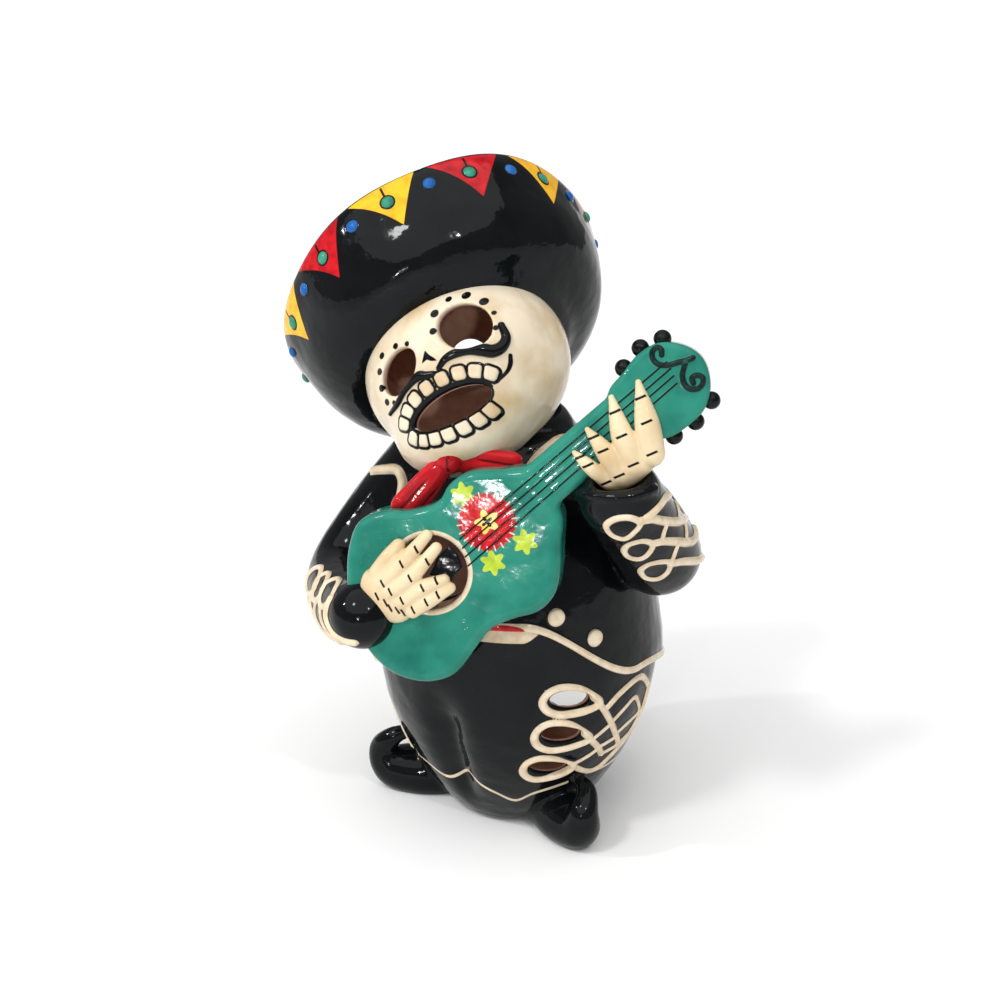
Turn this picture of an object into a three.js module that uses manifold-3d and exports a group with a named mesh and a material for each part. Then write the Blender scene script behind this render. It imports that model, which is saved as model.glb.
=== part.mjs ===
// A skeleton mariachi in glazed earthenware: a hollow tealight figure, slip-cast in one piece.
// Millimetres, +Z up, the figure's front toward -Y, its left hand toward +X.
// The origin is on the floor, under the middle of the trousers.
import * as THREE from 'three';
import { mergeVertices } from 'three/addons/utils/BufferGeometryUtils.js';
import Module from 'manifold-3d';

const wasm = await Module();
wasm.setup();

// Driving dimensions of the body.
const WALL = 4.5;
const FLOOR = 5;
const BASE_RADIUS = 26;
const HIP_RADIUS = 54;
const HIP_HEIGHT = 60;
const SHOULDER_HEIGHT = 140;
const LEGS_FACE = 4;
const JACKET_FACES = 27;
const JACKET_PROUD = 2.4;
const JACKET_FRONT = 96;

// Driving dimensions of the head and the hat.
const HEAD_AT = [-9.9, -19.5, 180.5];
const FACE_FORWARD = [0.224, -0.871, 0.437];
const FACE_RIGHT = [0.793, 0.423, 0.438];
const HAT_AT = [-14, -8.3, 185.2];
const HAT_AXIS = [-0.782, 0.438, 0.443];
const BAND_RADIUS = 40;
const BRIM_RADIUS = 62.3;
const BRIM_HEIGHT = 40;
const BRIM_THICK = 5;
const CROWN_HEIGHT = 48;
const THROAT_RADIUS = 24;

// Driving dimensions of the guitar. Its own frame has x along the neck, y across, z out of the face.
const GUITAR_AT = [10.3, -69.1, 124.2];
const GUITAR_AZIMUTH = 28;
const GUITAR_LEAN = 15;
const NECK_LINE = [0.5605, 0.4987, 0.6612];
const GUITAR_DEPTH = 19;
const FACE_EDGE = 4;
const SOUND_HOLE_RADIUS = 13.4;
const SOUND_HOLE_BACK = -46;
const SOUND_HOLE_FRONT = 4;
const PEG_RADIUS = 3.2;
const PEG_LEVEL = -4;
const NECK_WIDTH = 17;
const NECK_THICK = 9;

// Driving dimensions of the openings at the back.
const DOOR_WIDTH = 46;
const DOOR_HEIGHT = 58;
const DOOR_SILL = 20;
const DOOR_AZIMUTH = 180;
const DOOR_FROM = 20;
const DOOR_LENGTH = 60;
const VENT_RADIUS = 7.5;
const VENT_LENGTH = 30;
const VENT_AT = [-40.1, 23.1, 168.8];
const VENT_LINE = [-0.568, 0.757, -0.327];

const degrees = THREE.MathUtils.degToRad;

// A point on a circle about the Z axis; azimuth 0 is the front, 90 the figure's left.
function around(azimuth, radius, z) {
  const angle = degrees(azimuth);
  return new THREE.Vector3(Math.sin(angle) * radius, -Math.cos(angle) * radius, z);
}

function vector(list) {
  return list.isVector3 ? list.clone() : new THREE.Vector3(...list);
}

// A right-handed frame whose z axis is one direction and whose x axis lies near another.
function frame(origin, zAxis, xAxis) {
  const z = vector(zAxis).normalize();
  const y = z.clone().cross(vector(xAxis)).normalize();
  const x = y.clone().cross(z);
  return new THREE.Matrix4().makeBasis(x, y, z).setPosition(vector(origin));
}

// A closed geometry as a solid, with the doubled points along seams and poles made one.
function solid(geometry) {
  const bare = geometry.clone();
  bare.deleteAttribute('normal');
  bare.deleteAttribute('uv');
  const merged = mergeVertices(bare, 1e-4);
  const corners = merged.index.array;
  const kept = [];
  for (let i = 0; i < corners.length; i += 3) {
    const [a, b, c] = [corners[i], corners[i + 1], corners[i + 2]];
    if (a !== b && b !== c && c !== a) kept.push(a, b, c);
  }
  const vertProperties = new Float32Array(merged.attributes.position.array);
  const triVerts = new Uint32Array(kept);
  return new wasm.Manifold(new wasm.Mesh({ numProp: 3, vertProperties, triVerts }));
}

function join(solids) {
  return solids.reduce((whole, piece) => whole.add(piece));
}

// An ellipsoid, with its half sizes along the axes of a frame.
function ball(placed, halfSizes, sides = 18, rows = 12) {
  const geometry = new THREE.SphereGeometry(1, sides, rows);
  geometry.scale(...halfSizes);
  return solid(geometry.applyMatrix4(placed));
}

function roundBall(at, radius, sides = 14, rows = 9) {
  return ball(new THREE.Matrix4().setPosition(vector(at)), [radius, radius, radius], sides, rows);
}

// A closed skin over rings of points that run anticlockwise as seen from the last ring.
function skin(rings, closed = false) {
  const count = rings[0].length;
  const points = rings.flat();
  const corners = [];
  const last = closed ? rings.length : rings.length - 1;
  for (let i = 0; i < last; i += 1) {
    const next = (i + 1) % rings.length;
    for (let j = 0; j < count; j += 1) {
      const k = (j + 1) % count;
      const [a, b, c, d] = [i * count + j, i * count + k, next * count + k, next * count + j];
      corners.push(a, b, c, a, c, d);
    }
  }
  if (!closed) {
    for (const [ring, first] of [[0, true], [rings.length - 1, false]]) {
      const middle = new THREE.Vector3();
      rings[ring].forEach((point) => middle.addScaledVector(point, 1 / count));
      points.push(middle);
      for (let j = 0; j < count; j += 1) {
        const [a, b] = [ring * count + j, ring * count + ((j + 1) % count)];
        corners.push(...(first ? [points.length - 1, b, a] : [points.length - 1, a, b]));
      }
    }
  }
  const geometry = new THREE.BufferGeometry().setFromPoints(points);
  geometry.setIndex(corners);
  return solid(geometry);
}

// A limb along a smooth curve, with a radius at each of its points and round ends.
// flat is the share of the radius left across the limb in the direction of broad's normal.
// ends gives the turns, in degrees, at which the round ends have a ring.
function limb(points, radii, { sides = 10, steps = 10, flat = 1, broad = null, ends = [30, 70] } = {}) {
  const curve = new THREE.CatmullRomCurve3(points.map(vector), false, 'centripetal');
  const along = radii.length - 1;
  const stations = [];
  for (const turn of ends) stations.unshift([0, Math.cos(degrees(turn)), -Math.sin(degrees(turn))]);
  for (let i = 0; i <= steps; i += 1) stations.push([i / steps, 1, 0]);
  for (const turn of ends) stations.push([1, Math.cos(degrees(turn)), Math.sin(degrees(turn))]);
  let across = null;
  const rings = stations.map(([t, shrink, push]) => {
    const tangent = curve.getTangent(t);
    const spot = t * along;
    const low = Math.min(Math.floor(spot), along - 1);
    const radius = THREE.MathUtils.lerp(radii[low], radii[low + 1], spot - low);
    const guide = broad ? vector(broad) : across ?? new THREE.Vector3(tangent.y, tangent.z, tangent.x);
    const side = guide.addScaledVector(tangent, -guide.dot(tangent)).normalize();
    const up = tangent.clone().cross(side);
    across = side.clone();
    const centre = curve.getPoint(t).addScaledVector(tangent, push * radius);
    return Array.from({ length: sides }, (_, j) => {
      const turn = (2 * Math.PI * j) / sides;
      return centre.clone()
        .addScaledVector(side, Math.cos(turn) * radius * shrink)
        .addScaledVector(up, Math.sin(turn) * radius * shrink * flat);
    });
  });
  return skin(rings);
}

// A turned form: pairs of radius and height from the axis round to the axis.
function turned(profile, placed, sides = 40) {
  const outline = profile.map(([radius, height]) => new THREE.Vector2(radius, height));
  const geometry = new THREE.LatheGeometry(outline, sides);
  geometry.rotateX(Math.PI / 2);
  return solid(geometry.applyMatrix4(placed));
}

// The body's radius by height, from the sole to the neck, without the jacket.
const BODY_PROFILE = [
  [0, BASE_RADIUS],
  [3, BASE_RADIUS + 3],
  [12, 35.5],
  [21, 41],
  [30, 45.5],
  [39, 49],
  [49, 52.2],
  [HIP_HEIGHT, HIP_RADIUS],
  [74, 54],
  [90, 52],
  [105, 49.5],
  [118, 46],
  [130, 41.5],
  [SHOULDER_HEIGHT, 35],
  [150, 27],
  [160, 19],
  [168, 15],
];

function bodyRadius(z) {
  const last = BODY_PROFILE.length - 1;
  const next = Math.max(1, Math.min(last, BODY_PROFILE.findIndex(([height]) => height >= z)));
  const [[z0, r0], [z1, r1]] = [BODY_PROFILE[next - 1], BODY_PROFILE[next]];
  return THREE.MathUtils.lerp(r0, r1, (z - z0) / (z1 - z0));
}

// How far an azimuth lies from another, from -180 to 180 degrees.
function turnFrom(azimuth, middle) {
  return ((azimuth - middle + 900) % 360) - 180;
}

// The groove between the two trouser legs, in front and behind.
function legCrease(azimuth, z) {
  const width = 8;
  const depth = 5 * THREE.MathUtils.smoothstep(z, 6, 28) * (1 - THREE.MathUtils.smoothstep(z, 50, 72));
  const front = Math.abs(turnFrom(azimuth, LEGS_FACE));
  return depth * (Math.exp(-((front / width) ** 2)) + Math.exp(-(((180 - front) / width) ** 2)));
}

// The jacket's lower edge: cut high in front of the waist, longer at the sides and behind.
function jacketEdge(azimuth) {
  const turn = turnFrom(azimuth, JACKET_FACES);
  const gap = Math.abs(turn);
  const fall = 26 * THREE.MathUtils.smoothstep(gap, 10, 62) + 12 * THREE.MathUtils.smoothstep(gap, 62, 115);
  const rightFall = turn < 0 ? 8 * THREE.MathUtils.smoothstep(gap, 40, 80) : 0;
  return JACKET_FRONT - fall - rightFall;
}

function onBody(azimuth, z, out = 0) {
  return around(azimuth, bodyRadius(z) - legCrease(azimuth, z) + out, z);
}

// The trousers and the jacket over them, in rings from the sole to the neck.
function body() {
  const sides = 24;
  const jacketTop = SHOULDER_HEIGHT;
  const ring = (height, out) => Array.from({ length: sides }, (_, j) => {
    const azimuth = (360 * j) / sides;
    return onBody(azimuth, height(jacketEdge(azimuth)), out);
  });
  const legs = [0, 3, 12, 21, 30].map((z) => ring(() => z, 0));
  const hips = [0.33, 0.66, 1].map((share) => ring((edge) => THREE.MathUtils.lerp(30, edge, share), 0));
  const border = [[-0.5, JACKET_PROUD], [4, JACKET_PROUD + 0.3]];
  const hem = border.map(([rise, out]) => ring((edge) => edge + rise, out));
  const chest = [0.25, 0.5, 0.75, 1].map((share) => (
    ring((edge) => THREE.MathUtils.lerp(edge + 4, jacketTop, share), JACKET_PROUD * (1 - share))
  ));
  const neckRings = [150, 163].map((z) => ring(() => z, 0));
  return skin([...legs, ...hips, ...hem, ...chest, ...neckRings]);
}

// The hollow of the body, one wall inside the trousers and the jacket.
function bodyHollow() {
  const heights = [FLOOR, 12, 30, HIP_HEIGHT, 90, 118, SHOULDER_HEIGHT, 160];
  const rings = heights.map((z) => Array.from({ length: 16 }, (_, j) => {
    const azimuth = 22.5 * j;
    return onBody(azimuth, z, -WALL);
  }));
  return skin(rings);
}

// The trouser loops: long eyes cut through the wall, each ringed by a bead.
const LOOPS = [
  { azimuth: 57, z: 66.5, halfWidth: 11.5, halfHeight: 5.2 },
  { azimuth: 54, z: 51.5, halfWidth: 11.5, halfHeight: 5.2 },
  { azimuth: 50, z: 35.5, halfWidth: 11, halfHeight: 4.6 },
];

function loopPoint(loop, turn, share, out) {
  const across = (loop.halfWidth * share * Math.cos(turn)) / bodyRadius(loop.z);
  const rise = loop.halfHeight * share * Math.sin(turn) - 1.5 * Math.cos(turn);
  return onBody(loop.azimuth + THREE.MathUtils.radToDeg(across), loop.z + rise, out);
}

function loopRing(loop) {
  const steps = 11;
  const sides = 4;
  const thick = 1.7;
  const points = Array.from({ length: steps }, (_, i) => loopPoint(loop, (2 * Math.PI * i) / steps, 1, 0.2));
  const rings = points.map((point, i) => {
    const tangent = points[(i + 1) % steps].clone().sub(points[(i + steps - 1) % steps]).normalize();
    const out = new THREE.Vector3(point.x, point.y, 0).normalize();
    const side = out.clone().cross(tangent).normalize();
    const up = tangent.clone().cross(side);
    return Array.from({ length: sides }, (_, j) => {
      const turn = (2 * Math.PI * j) / sides;
      return point.clone()
        .addScaledVector(side, Math.cos(turn) * thick)
        .addScaledVector(up, Math.sin(turn) * thick);
    });
  });
  return skin(rings, true);
}

function loopHole(loop) {
  const steps = 10;
  const outline = (out) => Array.from({ length: steps }, (_, i) => (
    loopPoint(loop, (-2 * Math.PI * i) / steps, 0.72, out)
  ));
  return skin([outline(5), outline(-WALL - 4)]);
}

// The boots, toes turned out and curled up until their tips touch the trousers.
function boot(azimuth, tipAzimuth) {
  const spots = [
    [azimuth, 18, 9, 9],
    [azimuth, 32, 9.5, 9.5],
    [azimuth, 43, 9, 9],
    [azimuth, 51, 9.5, 8],
    [azimuth, 54, 16.5, 5.8],
    [tipAzimuth, 50, 23.5, 3.8],
    [tipAzimuth, 44.5, 26, 2.6],
  ];
  const points = spots.map(([turn, radius, z]) => around(turn, radius, z));
  const sole = around(azimuth, 36, 6);
  const out = around(azimuth, 1, 0);
  return join([
    limb(points, spots.map(([, , , radius]) => radius), { sides: 8, steps: 6, ends: [45] }),
    ball(frame(sole, [0, 0, 1], out), [20, 10.5, 9], 10, 6),
  ]);
}

// The head: cranium, cheeks and a long jaw, in a frame with x to its left, y up, z forward.
const headFrame = frame(HEAD_AT, FACE_FORWARD, FACE_RIGHT);

function onHead(x, y, z) {
  return new THREE.Vector3(x, y, z).applyMatrix4(headFrame);
}

// The skull is two egg forms: the cranium, and the jaw below and in front of it.
const CRANIUM = { at: [1, 2, -0.4], size: [38.4, 33.5, 38] };
const JAW = { at: [-6.3, -19, 6.2], size: [24.3, 17.6, 26] };

function headForm({ at, size }, inset, sides, rows) {
  const placed = headFrame.clone().setPosition(onHead(...at));
  return ball(placed, size.map((half) => half - inset), sides, rows);
}

// How far forward the face lies at a place on it.
function faceDepth(x, y) {
  const depths = [CRANIUM, JAW].map(({ at, size }) => {
    const [u, v] = [(x - at[0]) / size[0], (y - at[1]) / size[1]];
    return at[2] + size[2] * Math.sqrt(Math.max(1 - u * u - v * v, 0));
  });
  return Math.max(...depths);
}

// Places, half sizes and tilts of the mouth and the two eye sockets on the face.
const MOUTH = { at: [-0.3, -16.8], halfSizes: [15.2, 5.3], tilt: 6 };
const EYES = [
  { at: [-13.7, 2.2], halfSizes: [9.3, 6.3], tilt: 32 },
  { at: [14.5, 8.3], halfSizes: [9.6, 8.4], tilt: -40 },
];
const FACE_HOLE_BACK = 8;
const FACE_HOLE_FRONT = 45;

// An oval cut straight back through the front of the skull.
function faceHole({ at: [x, y], halfSizes: [wide, tall], tilt }) {
  const geometry = new THREE.CylinderGeometry(1, 1, FACE_HOLE_FRONT - FACE_HOLE_BACK, 12);
  geometry.rotateX(Math.PI / 2);
  geometry.scale(wide, tall, 1);
  geometry.rotateZ(degrees(tilt));
  geometry.translate(x, y, (FACE_HOLE_FRONT + FACE_HOLE_BACK) / 2);
  return solid(geometry.applyMatrix4(headFrame));
}

// A row of teeth round the mouth, each a small block sunk in the jaw.
const TOOTH = [4.6, 5.2, 5];

function teeth({ halfSizes: [wide, tall], from, to, count }) {
  return Array.from({ length: count }, (_, i) => {
    const turn = degrees(THREE.MathUtils.lerp(from, to, i / (count - 1)));
    const spot = new THREE.Vector2(wide * Math.cos(turn), tall * Math.sin(turn));
    spot.rotateAround(new THREE.Vector2(), degrees(MOUTH.tilt)).add(new THREE.Vector2(...MOUTH.at));
    const depth = faceDepth(spot.x, spot.y);
    const out = new THREE.Vector3(spot.x, spot.y + 6, depth).normalize();
    const along = new THREE.Vector3(-Math.sin(turn) * 2, Math.cos(turn), 0);
    const placed = headFrame.clone().multiply(frame([spot.x, spot.y, depth - 1.5], out, along));
    return solid(new THREE.BoxGeometry(...TOOTH).applyMatrix4(placed));
  });
}

const UPPER_TEETH = { halfSizes: [20.5, 9.4], from: 157, to: 26, count: 8 };
const LOWER_TEETH = { halfSizes: [19, 8.2], from: -158, to: -52, count: 7 };

// The two halves of the moustache, at places on the face, with their radii.
const MOUSTACHE = [
  { spots: [[2.1, -3.4], [9.9, -0.6], [18.2, -2.3], [24.5, -3], [26.4, 4.5]], radii: [0.9, 1.6, 2.3, 2.1, 1.4] },
  { spots: [[-0.5, -4.5], [-5.7, -3.1], [-13, -4.8], [-19, -7.8], [-24.5, -9]], radii: [1, 1.6, 1.3, 1, 0.7] },
];

function moustacheHalf({ spots, radii }) {
  const points = spots.map(([x, y]) => onHead(x, y, faceDepth(x, y) + 0.4));
  return limb(points, radii, { sides: 5, steps: 5, ends: [45] });
}

// The hat: a deep bowl of a brim with its edge turned up toward the crown.
const hatFrame = frame(HAT_AT, HAT_AXIS, [0, 0, 1]);

function hatProfile(inset) {
  const inner = BRIM_RADIUS - BRIM_THICK;
  const crown = BAND_RADIUS - 2 - inset;
  if (inset > 0) {
    return [
      [0, -6], [THROAT_RADIUS, -6], [THROAT_RADIUS, 2], [crown, 12], [crown - 3, 24], [crown - 9, 36],
      [crown - 19, CROWN_HEIGHT - inset - 1], [0, CROWN_HEIGHT - inset],
    ];
  }
  return [
    [0, -4], [BAND_RADIUS - 6, -4], [BAND_RADIUS, -1], [47.8, 2.5], [53.8, 7.5], [58.2, 16], [60.6, 26],
    [BRIM_RADIUS, BRIM_HEIGHT - 2], [BRIM_RADIUS - 2.5, BRIM_HEIGHT], [inner, BRIM_HEIGHT - 2],
    [inner - 2, 26], [inner - 6, 16], [inner - 14, 9], [crown + 1, 9],
    [crown - 3, 24], [crown - 9, 37], [crown - 19, CROWN_HEIGHT - 1], [0, CROWN_HEIGHT],
  ];
}

// The guitar, drawn in its own frame.
const guitarNormal = around(GUITAR_AZIMUTH, Math.cos(degrees(GUITAR_LEAN)), Math.sin(degrees(GUITAR_LEAN)));
const guitarFrame = frame(GUITAR_AT, guitarNormal, NECK_LINE);

function onGuitar(x, y, z) {
  return new THREE.Vector3(x, y, z).applyMatrix4(guitarFrame);
}

// The outline from the neck's upper edge, round the lower bout, to the neck's lower edge.
const GUITAR_OUTLINE = [
  [50, 6], [43, 12], [34, 18.5], [26, 19.5], [19, 17.5], [9, 21.5], [1, 28], [-8, 30.5],
  [-17, 26], [-26, 17], [-33, 7], [-36.5, -6], [-35, -19], [-28, -29], [-18, -33.5], [-7, -31.5],
  [3, -29.5], [12, -32], [20, -35.5], [28, -35], [36, -29.5], [43, -22], [50, -14],
];

function guitarShape(share) {
  const middle = new THREE.Vector2(5, -3);
  const points = GUITAR_OUTLINE.map(([x, y]) => new THREE.Vector2(x, y).lerp(middle, 1 - share));
  const shape = new THREE.Shape();
  shape.moveTo(points[0].x, points[0].y);
  shape.splineThru(points.slice(1));
  shape.closePath();
  return shape;
}

function plate(shape, back, front, edge, curveSegments) {
  const geometry = new THREE.ExtrudeGeometry(shape, {
    depth: front - back - edge,
    bevelEnabled: edge > 0,
    bevelThickness: edge,
    bevelSize: edge,
    bevelOffset: -edge,
    bevelSegments: 2,
    curveSegments,
  });
  geometry.translate(0, 0, back);
  return solid(geometry.applyMatrix4(guitarFrame));
}

const HEAD_OUTLINE = [
  [90, 7], [99, 9.5], [108, 11], [116, 9], [122, 2], [123.5, -5],
  [120, -13], [113, -18.5], [105, -19.5], [96, -18], [90, -12],
];

function headstock() {
  const shape = new THREE.Shape();
  shape.moveTo(...HEAD_OUTLINE[0]);
  shape.splineThru(HEAD_OUTLINE.slice(1).map(([x, y]) => new THREE.Vector2(x, y)));
  shape.closePath();
  return plate(shape, -NECK_THICK, 1, 2, 2);
}

function neck() {
  const middle = -2.2;
  const points = [[40, middle, -5], [70, middle, -4], [94, middle - 1, -4]].map((spot) => onGuitar(...spot));
  return limb(points, [NECK_WIDTH / 2 + 1, NECK_WIDTH / 2, NECK_WIDTH / 2], {
    sides: 8, steps: 3, flat: 0.6, broad: onGuitar(0, 1, 0).sub(onGuitar(0, 0, 0)),
  });
}

// Six pegs, three along each edge of the head.
const PEGS = [[100, 10.5], [109, 12], [117, 9.5], [116, -18], [107, -20], [98, -19]];

// A bony finger from its knuckle over its middle joint to its tip, at places on the guitar.
function finger([knuckle, joint, tip], radii) {
  const bones = [knuckle, joint, tip].map((spot) => onGuitar(...spot));
  return limb(bones, radii, { sides: 6, steps: 3, ends: [45] });
}

function palm(at, halfSizes) {
  return ball(guitarFrame.clone().setPosition(onGuitar(...at)), halfSizes, 9, 6);
}

// The strumming hand lies over the sound hole; its four fingers run up and to the right.
const STRUM_FINGERS = [
  [[-15, 8.5, 3.5], [-4, 9.2, 5.5], [8.5, 11, 2]],
  [[-15, 4, 4], [-4.5, 3.4, 6], [8.5, 5.4, 3.5]],
  [[-14, -1, 4], [-4, -2.2, 5.5], [3, -5, 3.5]],
  [[-13, -6, 3], [-6, -7, 4.8], [2.6, -8.6, 2.8]],
];
const STRUM_THUMB = [[-14, 12.5, 2.5], [-7, 14, 3.2], [-1.5, 14.8, 3]];
const STRUM_RADII = [3, 2.9, 2.1];
const THUMB_RADII = [3, 2.9, 2.5];

// The fretting hand comes up behind the neck and lays four pointed fingers over the strings.
const FRET_FINGERS = [
  { spots: [[70, -16, -1], [69, -7, 2.5], [68, -0.7, 1]], radii: [3, 2.5, 0.9] },
  { spots: [[75, -17, 0], [76.7, -7, 2.5], [76.8, 2.5, 1]], radii: [3.8, 3.4, 1] },
  { spots: [[81.5, -17.5, 0], [85, -7, 2.5], [90.6, 5.6, 1]], radii: [4.6, 4.1, 1.1] },
  { spots: [[88.5, -18.5, 0], [94.5, -9, 2.2], [101.2, 3.5, 1]], radii: [4.8, 4.4, 1.1] },
];

function hands() {
  return [
    ...STRUM_FINGERS.map((spots) => finger(spots, STRUM_RADII)),
    finger(STRUM_THUMB, THUMB_RADII),
    palm([-17, 4, 0], [8.5, 11.5, 6]),
    ...FRET_FINGERS.map(({ spots, radii }) => finger(spots, radii)),
    palm([80.5, -16.5, -3], [13.5, 7, 7]),
  ];
}

function arms() {
  const right = limb(
    [[-33, -15, 138], [-45, -26, 119], [-50, -45, 100], [-25, -71.5, 101.5], [-11, -81.5, 106.5]],
    [15.5, 14.5, 13.5, 13, 12.5],
    { sides: 9, steps: 7, ends: [45] },
  );
  const left = limb(
    [[22, 8, 140], [44, 14, 127], [58, 8, 117], [62, -8, 131], [63, -26, 151.5]],
    [15, 15, 16, 15.5, 15],
    { sides: 9, steps: 7, ends: [45] },
  );
  return [right, left];
}

function neckerchief() {
  const [left, knot, right] = [[-8, -60, 147], [4, -49, 160], [24, -33, 159]].map(vector);
  const fan = (end, width) => limb(
    [knot, knot.clone().lerp(end, 0.55), end],
    [3.4, 5, width],
    { sides: 7, steps: 3, flat: 0.55, broad: [0, 0, 1], ends: [45] },
  );
  return [fan(left, 7), fan(right, 6), roundBall(knot, 5.5, 8, 6)];
}

// The stiff collar stands a little forward on the neck, and higher behind.
const COLLAR_SHIFT = new THREE.Vector3(2, -4, 0);
const COLLAR_RISE = 2;
const COLLAR_HIGH = 170;

function collar() {
  const rings = [[142, 31], [150, 26], [156, 22], [160, 20]];
  const sides = 16;
  return skin(rings.map(([z, radius]) => Array.from({ length: sides }, (_, j) => {
    const azimuth = (360 * j) / sides;
    const rise = COLLAR_RISE * Math.cos(degrees(azimuth - COLLAR_HIGH));
    return around(azimuth, radius, z + rise).add(COLLAR_SHIFT);
  })));
}

// Everything that adds clay.
const clay = join([
  body(),
  collar(),
  boot(63, 67),
  boot(-57, -54),
  ...LOOPS.map(loopRing),
  headForm(CRANIUM, 0, 16, 11),
  headForm(JAW, 0, 12, 9),
  ...teeth(UPPER_TEETH),
  ...teeth(LOWER_TEETH),
  ...MOUSTACHE.map(moustacheHalf),
  turned(hatProfile(0), hatFrame, 24),
  plate(guitarShape(1), -GUITAR_DEPTH, 0, FACE_EDGE, 1),
  headstock(),
  neck(),
  ...PEGS.map(([x, y]) => roundBall(onGuitar(x, y, PEG_LEVEL), PEG_RADIUS, 6, 4)),
  ...hands(),
  ...arms(),
  ...neckerchief(),
]);

// The hollow: belly, neck, skull and the crown of the hat, and the inside of the guitar.
const hollow = join([
  bodyHollow(),
  headForm(CRANIUM, WALL, 10, 8),
  headForm(JAW, WALL, 8, 6),
  turned(hatProfile(WALL), hatFrame, 12),
  plate(guitarShape(0.8), 4 - GUITAR_DEPTH, -WALL, 0, 1),
]);

// The openings cut through the wall.
function soundHole() {
  const length = SOUND_HOLE_FRONT - SOUND_HOLE_BACK;
  const geometry = new THREE.CylinderGeometry(SOUND_HOLE_RADIUS, SOUND_HOLE_RADIUS, length, 16);
  geometry.rotateX(Math.PI / 2);
  geometry.translate(0, 0, (SOUND_HOLE_FRONT + SOUND_HOLE_BACK) / 2);
  return solid(geometry.applyMatrix4(guitarFrame));
}

function doorway() {
  const half = DOOR_WIDTH / 2;
  const shape = new THREE.Shape();
  shape.moveTo(-half, 0);
  shape.lineTo(half, 0);
  shape.lineTo(half, DOOR_HEIGHT - half);
  shape.absarc(0, DOOR_HEIGHT - half, half, 0, Math.PI, false);
  const geometry = new THREE.ExtrudeGeometry(shape, { depth: DOOR_LENGTH, bevelEnabled: false, curveSegments: 6 });
  const out = around(DOOR_AZIMUTH, 1, 0);
  const up = new THREE.Vector3(0, 0, 1);
  const placed = new THREE.Matrix4().makeBasis(up.clone().cross(out), up, out);
  placed.setPosition(around(DOOR_AZIMUTH, DOOR_FROM, DOOR_SILL));
  return solid(geometry.applyMatrix4(placed));
}

function vent() {
  const geometry = new THREE.CylinderGeometry(VENT_RADIUS, VENT_RADIUS, VENT_LENGTH, 10);
  geometry.rotateX(Math.PI / 2);
  return solid(geometry.applyMatrix4(frame(VENT_AT, VENT_LINE, [0, 0, 1])));
}

const openings = join([
  soundHole(),
  doorway(),
  vent(),
  faceHole(MOUTH),
  ...EYES.map(faceHole),
  ...LOOPS.map(loopHole),
]);

// The sole is ground flat.
function underFloor() {
  const slab = new THREE.BoxGeometry(300, 300, 20);
  slab.translate(0, 0, -10);
  return solid(slab);
}

const whole = clay.subtract(hollow).subtract(openings).subtract(underFloor());

function geometryOf(manifold) {
  const { vertProperties, triVerts, numProp } = manifold.getMesh();
  const points = [];
  for (let i = 0; i < vertProperties.length; i += numProp) {
    points.push(...vertProperties.slice(i, i + 3));
  }
  const geometry = new THREE.BufferGeometry();
  geometry.setAttribute('position', new THREE.Float32BufferAttribute(points, 3));
  geometry.setIndex(Array.from(triVerts));
  geometry.computeVertexNormals();
  return geometry;
}

const glaze = new THREE.MeshStandardMaterial({ color: 0x14161a, roughness: 0.12, metalness: 0 });
const figurine = new THREE.Mesh(geometryOf(whole), glaze);
figurine.name = 'figurine';

const model = new THREE.Group();
model.add(figurine);

export default model;
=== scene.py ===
import bpy
import numpy as np
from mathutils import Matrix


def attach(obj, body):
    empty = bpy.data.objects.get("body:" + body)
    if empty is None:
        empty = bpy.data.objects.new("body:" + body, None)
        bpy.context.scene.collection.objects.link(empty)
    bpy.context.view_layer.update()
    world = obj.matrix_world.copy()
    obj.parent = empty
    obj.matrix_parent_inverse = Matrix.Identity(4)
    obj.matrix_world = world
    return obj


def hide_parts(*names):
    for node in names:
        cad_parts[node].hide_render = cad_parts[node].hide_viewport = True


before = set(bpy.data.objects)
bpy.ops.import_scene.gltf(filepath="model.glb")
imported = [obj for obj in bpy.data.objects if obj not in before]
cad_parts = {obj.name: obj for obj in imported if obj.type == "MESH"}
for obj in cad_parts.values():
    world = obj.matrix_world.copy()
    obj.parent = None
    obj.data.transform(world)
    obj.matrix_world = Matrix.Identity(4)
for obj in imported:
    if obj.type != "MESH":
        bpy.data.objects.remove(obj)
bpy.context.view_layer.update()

import openvdb
from mathutils import Vector

# The inside of the casting.
# Slip was poured into a mould and drained, so belly, skull, crown and guitar are one hollow in a wall of even
# thickness. It is bare brown clay, and it shows through the eyes, the mouth, the sound hole and the loops.
# Lengths are millimetres here and in every section; a mesh becomes metres when it is made.
WALL = 4.5
FLOOR = 5.0
CLAY_DEPTH, CLAY_EDGE = 2.2, 0.4
INNER_SOFT, RIM_SOFT = 1.0, 1.6
FAR = 1000.0
METRES = 0.001


def unit(direction):
    direction = np.asarray(direction, float)
    return direction / np.linalg.norm(direction)


class Seat:
    """A place on the figure with its own x, y and z directions."""

    def __init__(self, at, forward, along):
        self.at = np.array(at, float)
        z = unit(forward)
        y = unit(np.cross(z, along))
        self.axes = np.stack([np.cross(y, z), y, z])

    def local(self, points):
        return (points - self.at) @ self.axes.T

    def world(self, points):
        return np.asarray(points, float) @ self.axes + self.at


def around(azimuth, radius, z):
    """Points on circles about the figure's axis; azimuth 0 is the front, 90 the figure's left."""
    turn = np.radians(azimuth)
    return np.stack(np.broadcast_arrays(np.sin(turn) * radius, -np.cos(turn) * radius, z), -1)


def step(value, low, high):
    share = np.clip((value - low) / (high - low), 0, 1)
    return share * share * (3 - 2 * share)


def melt(a, b, radius):
    """Two forms run together with a soft inner corner, as clay and glaze leave it."""
    overlap = np.maximum(radius - np.abs(a - b), 0) / radius
    return np.minimum(a, b) - overlap * overlap * radius / 4


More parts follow.
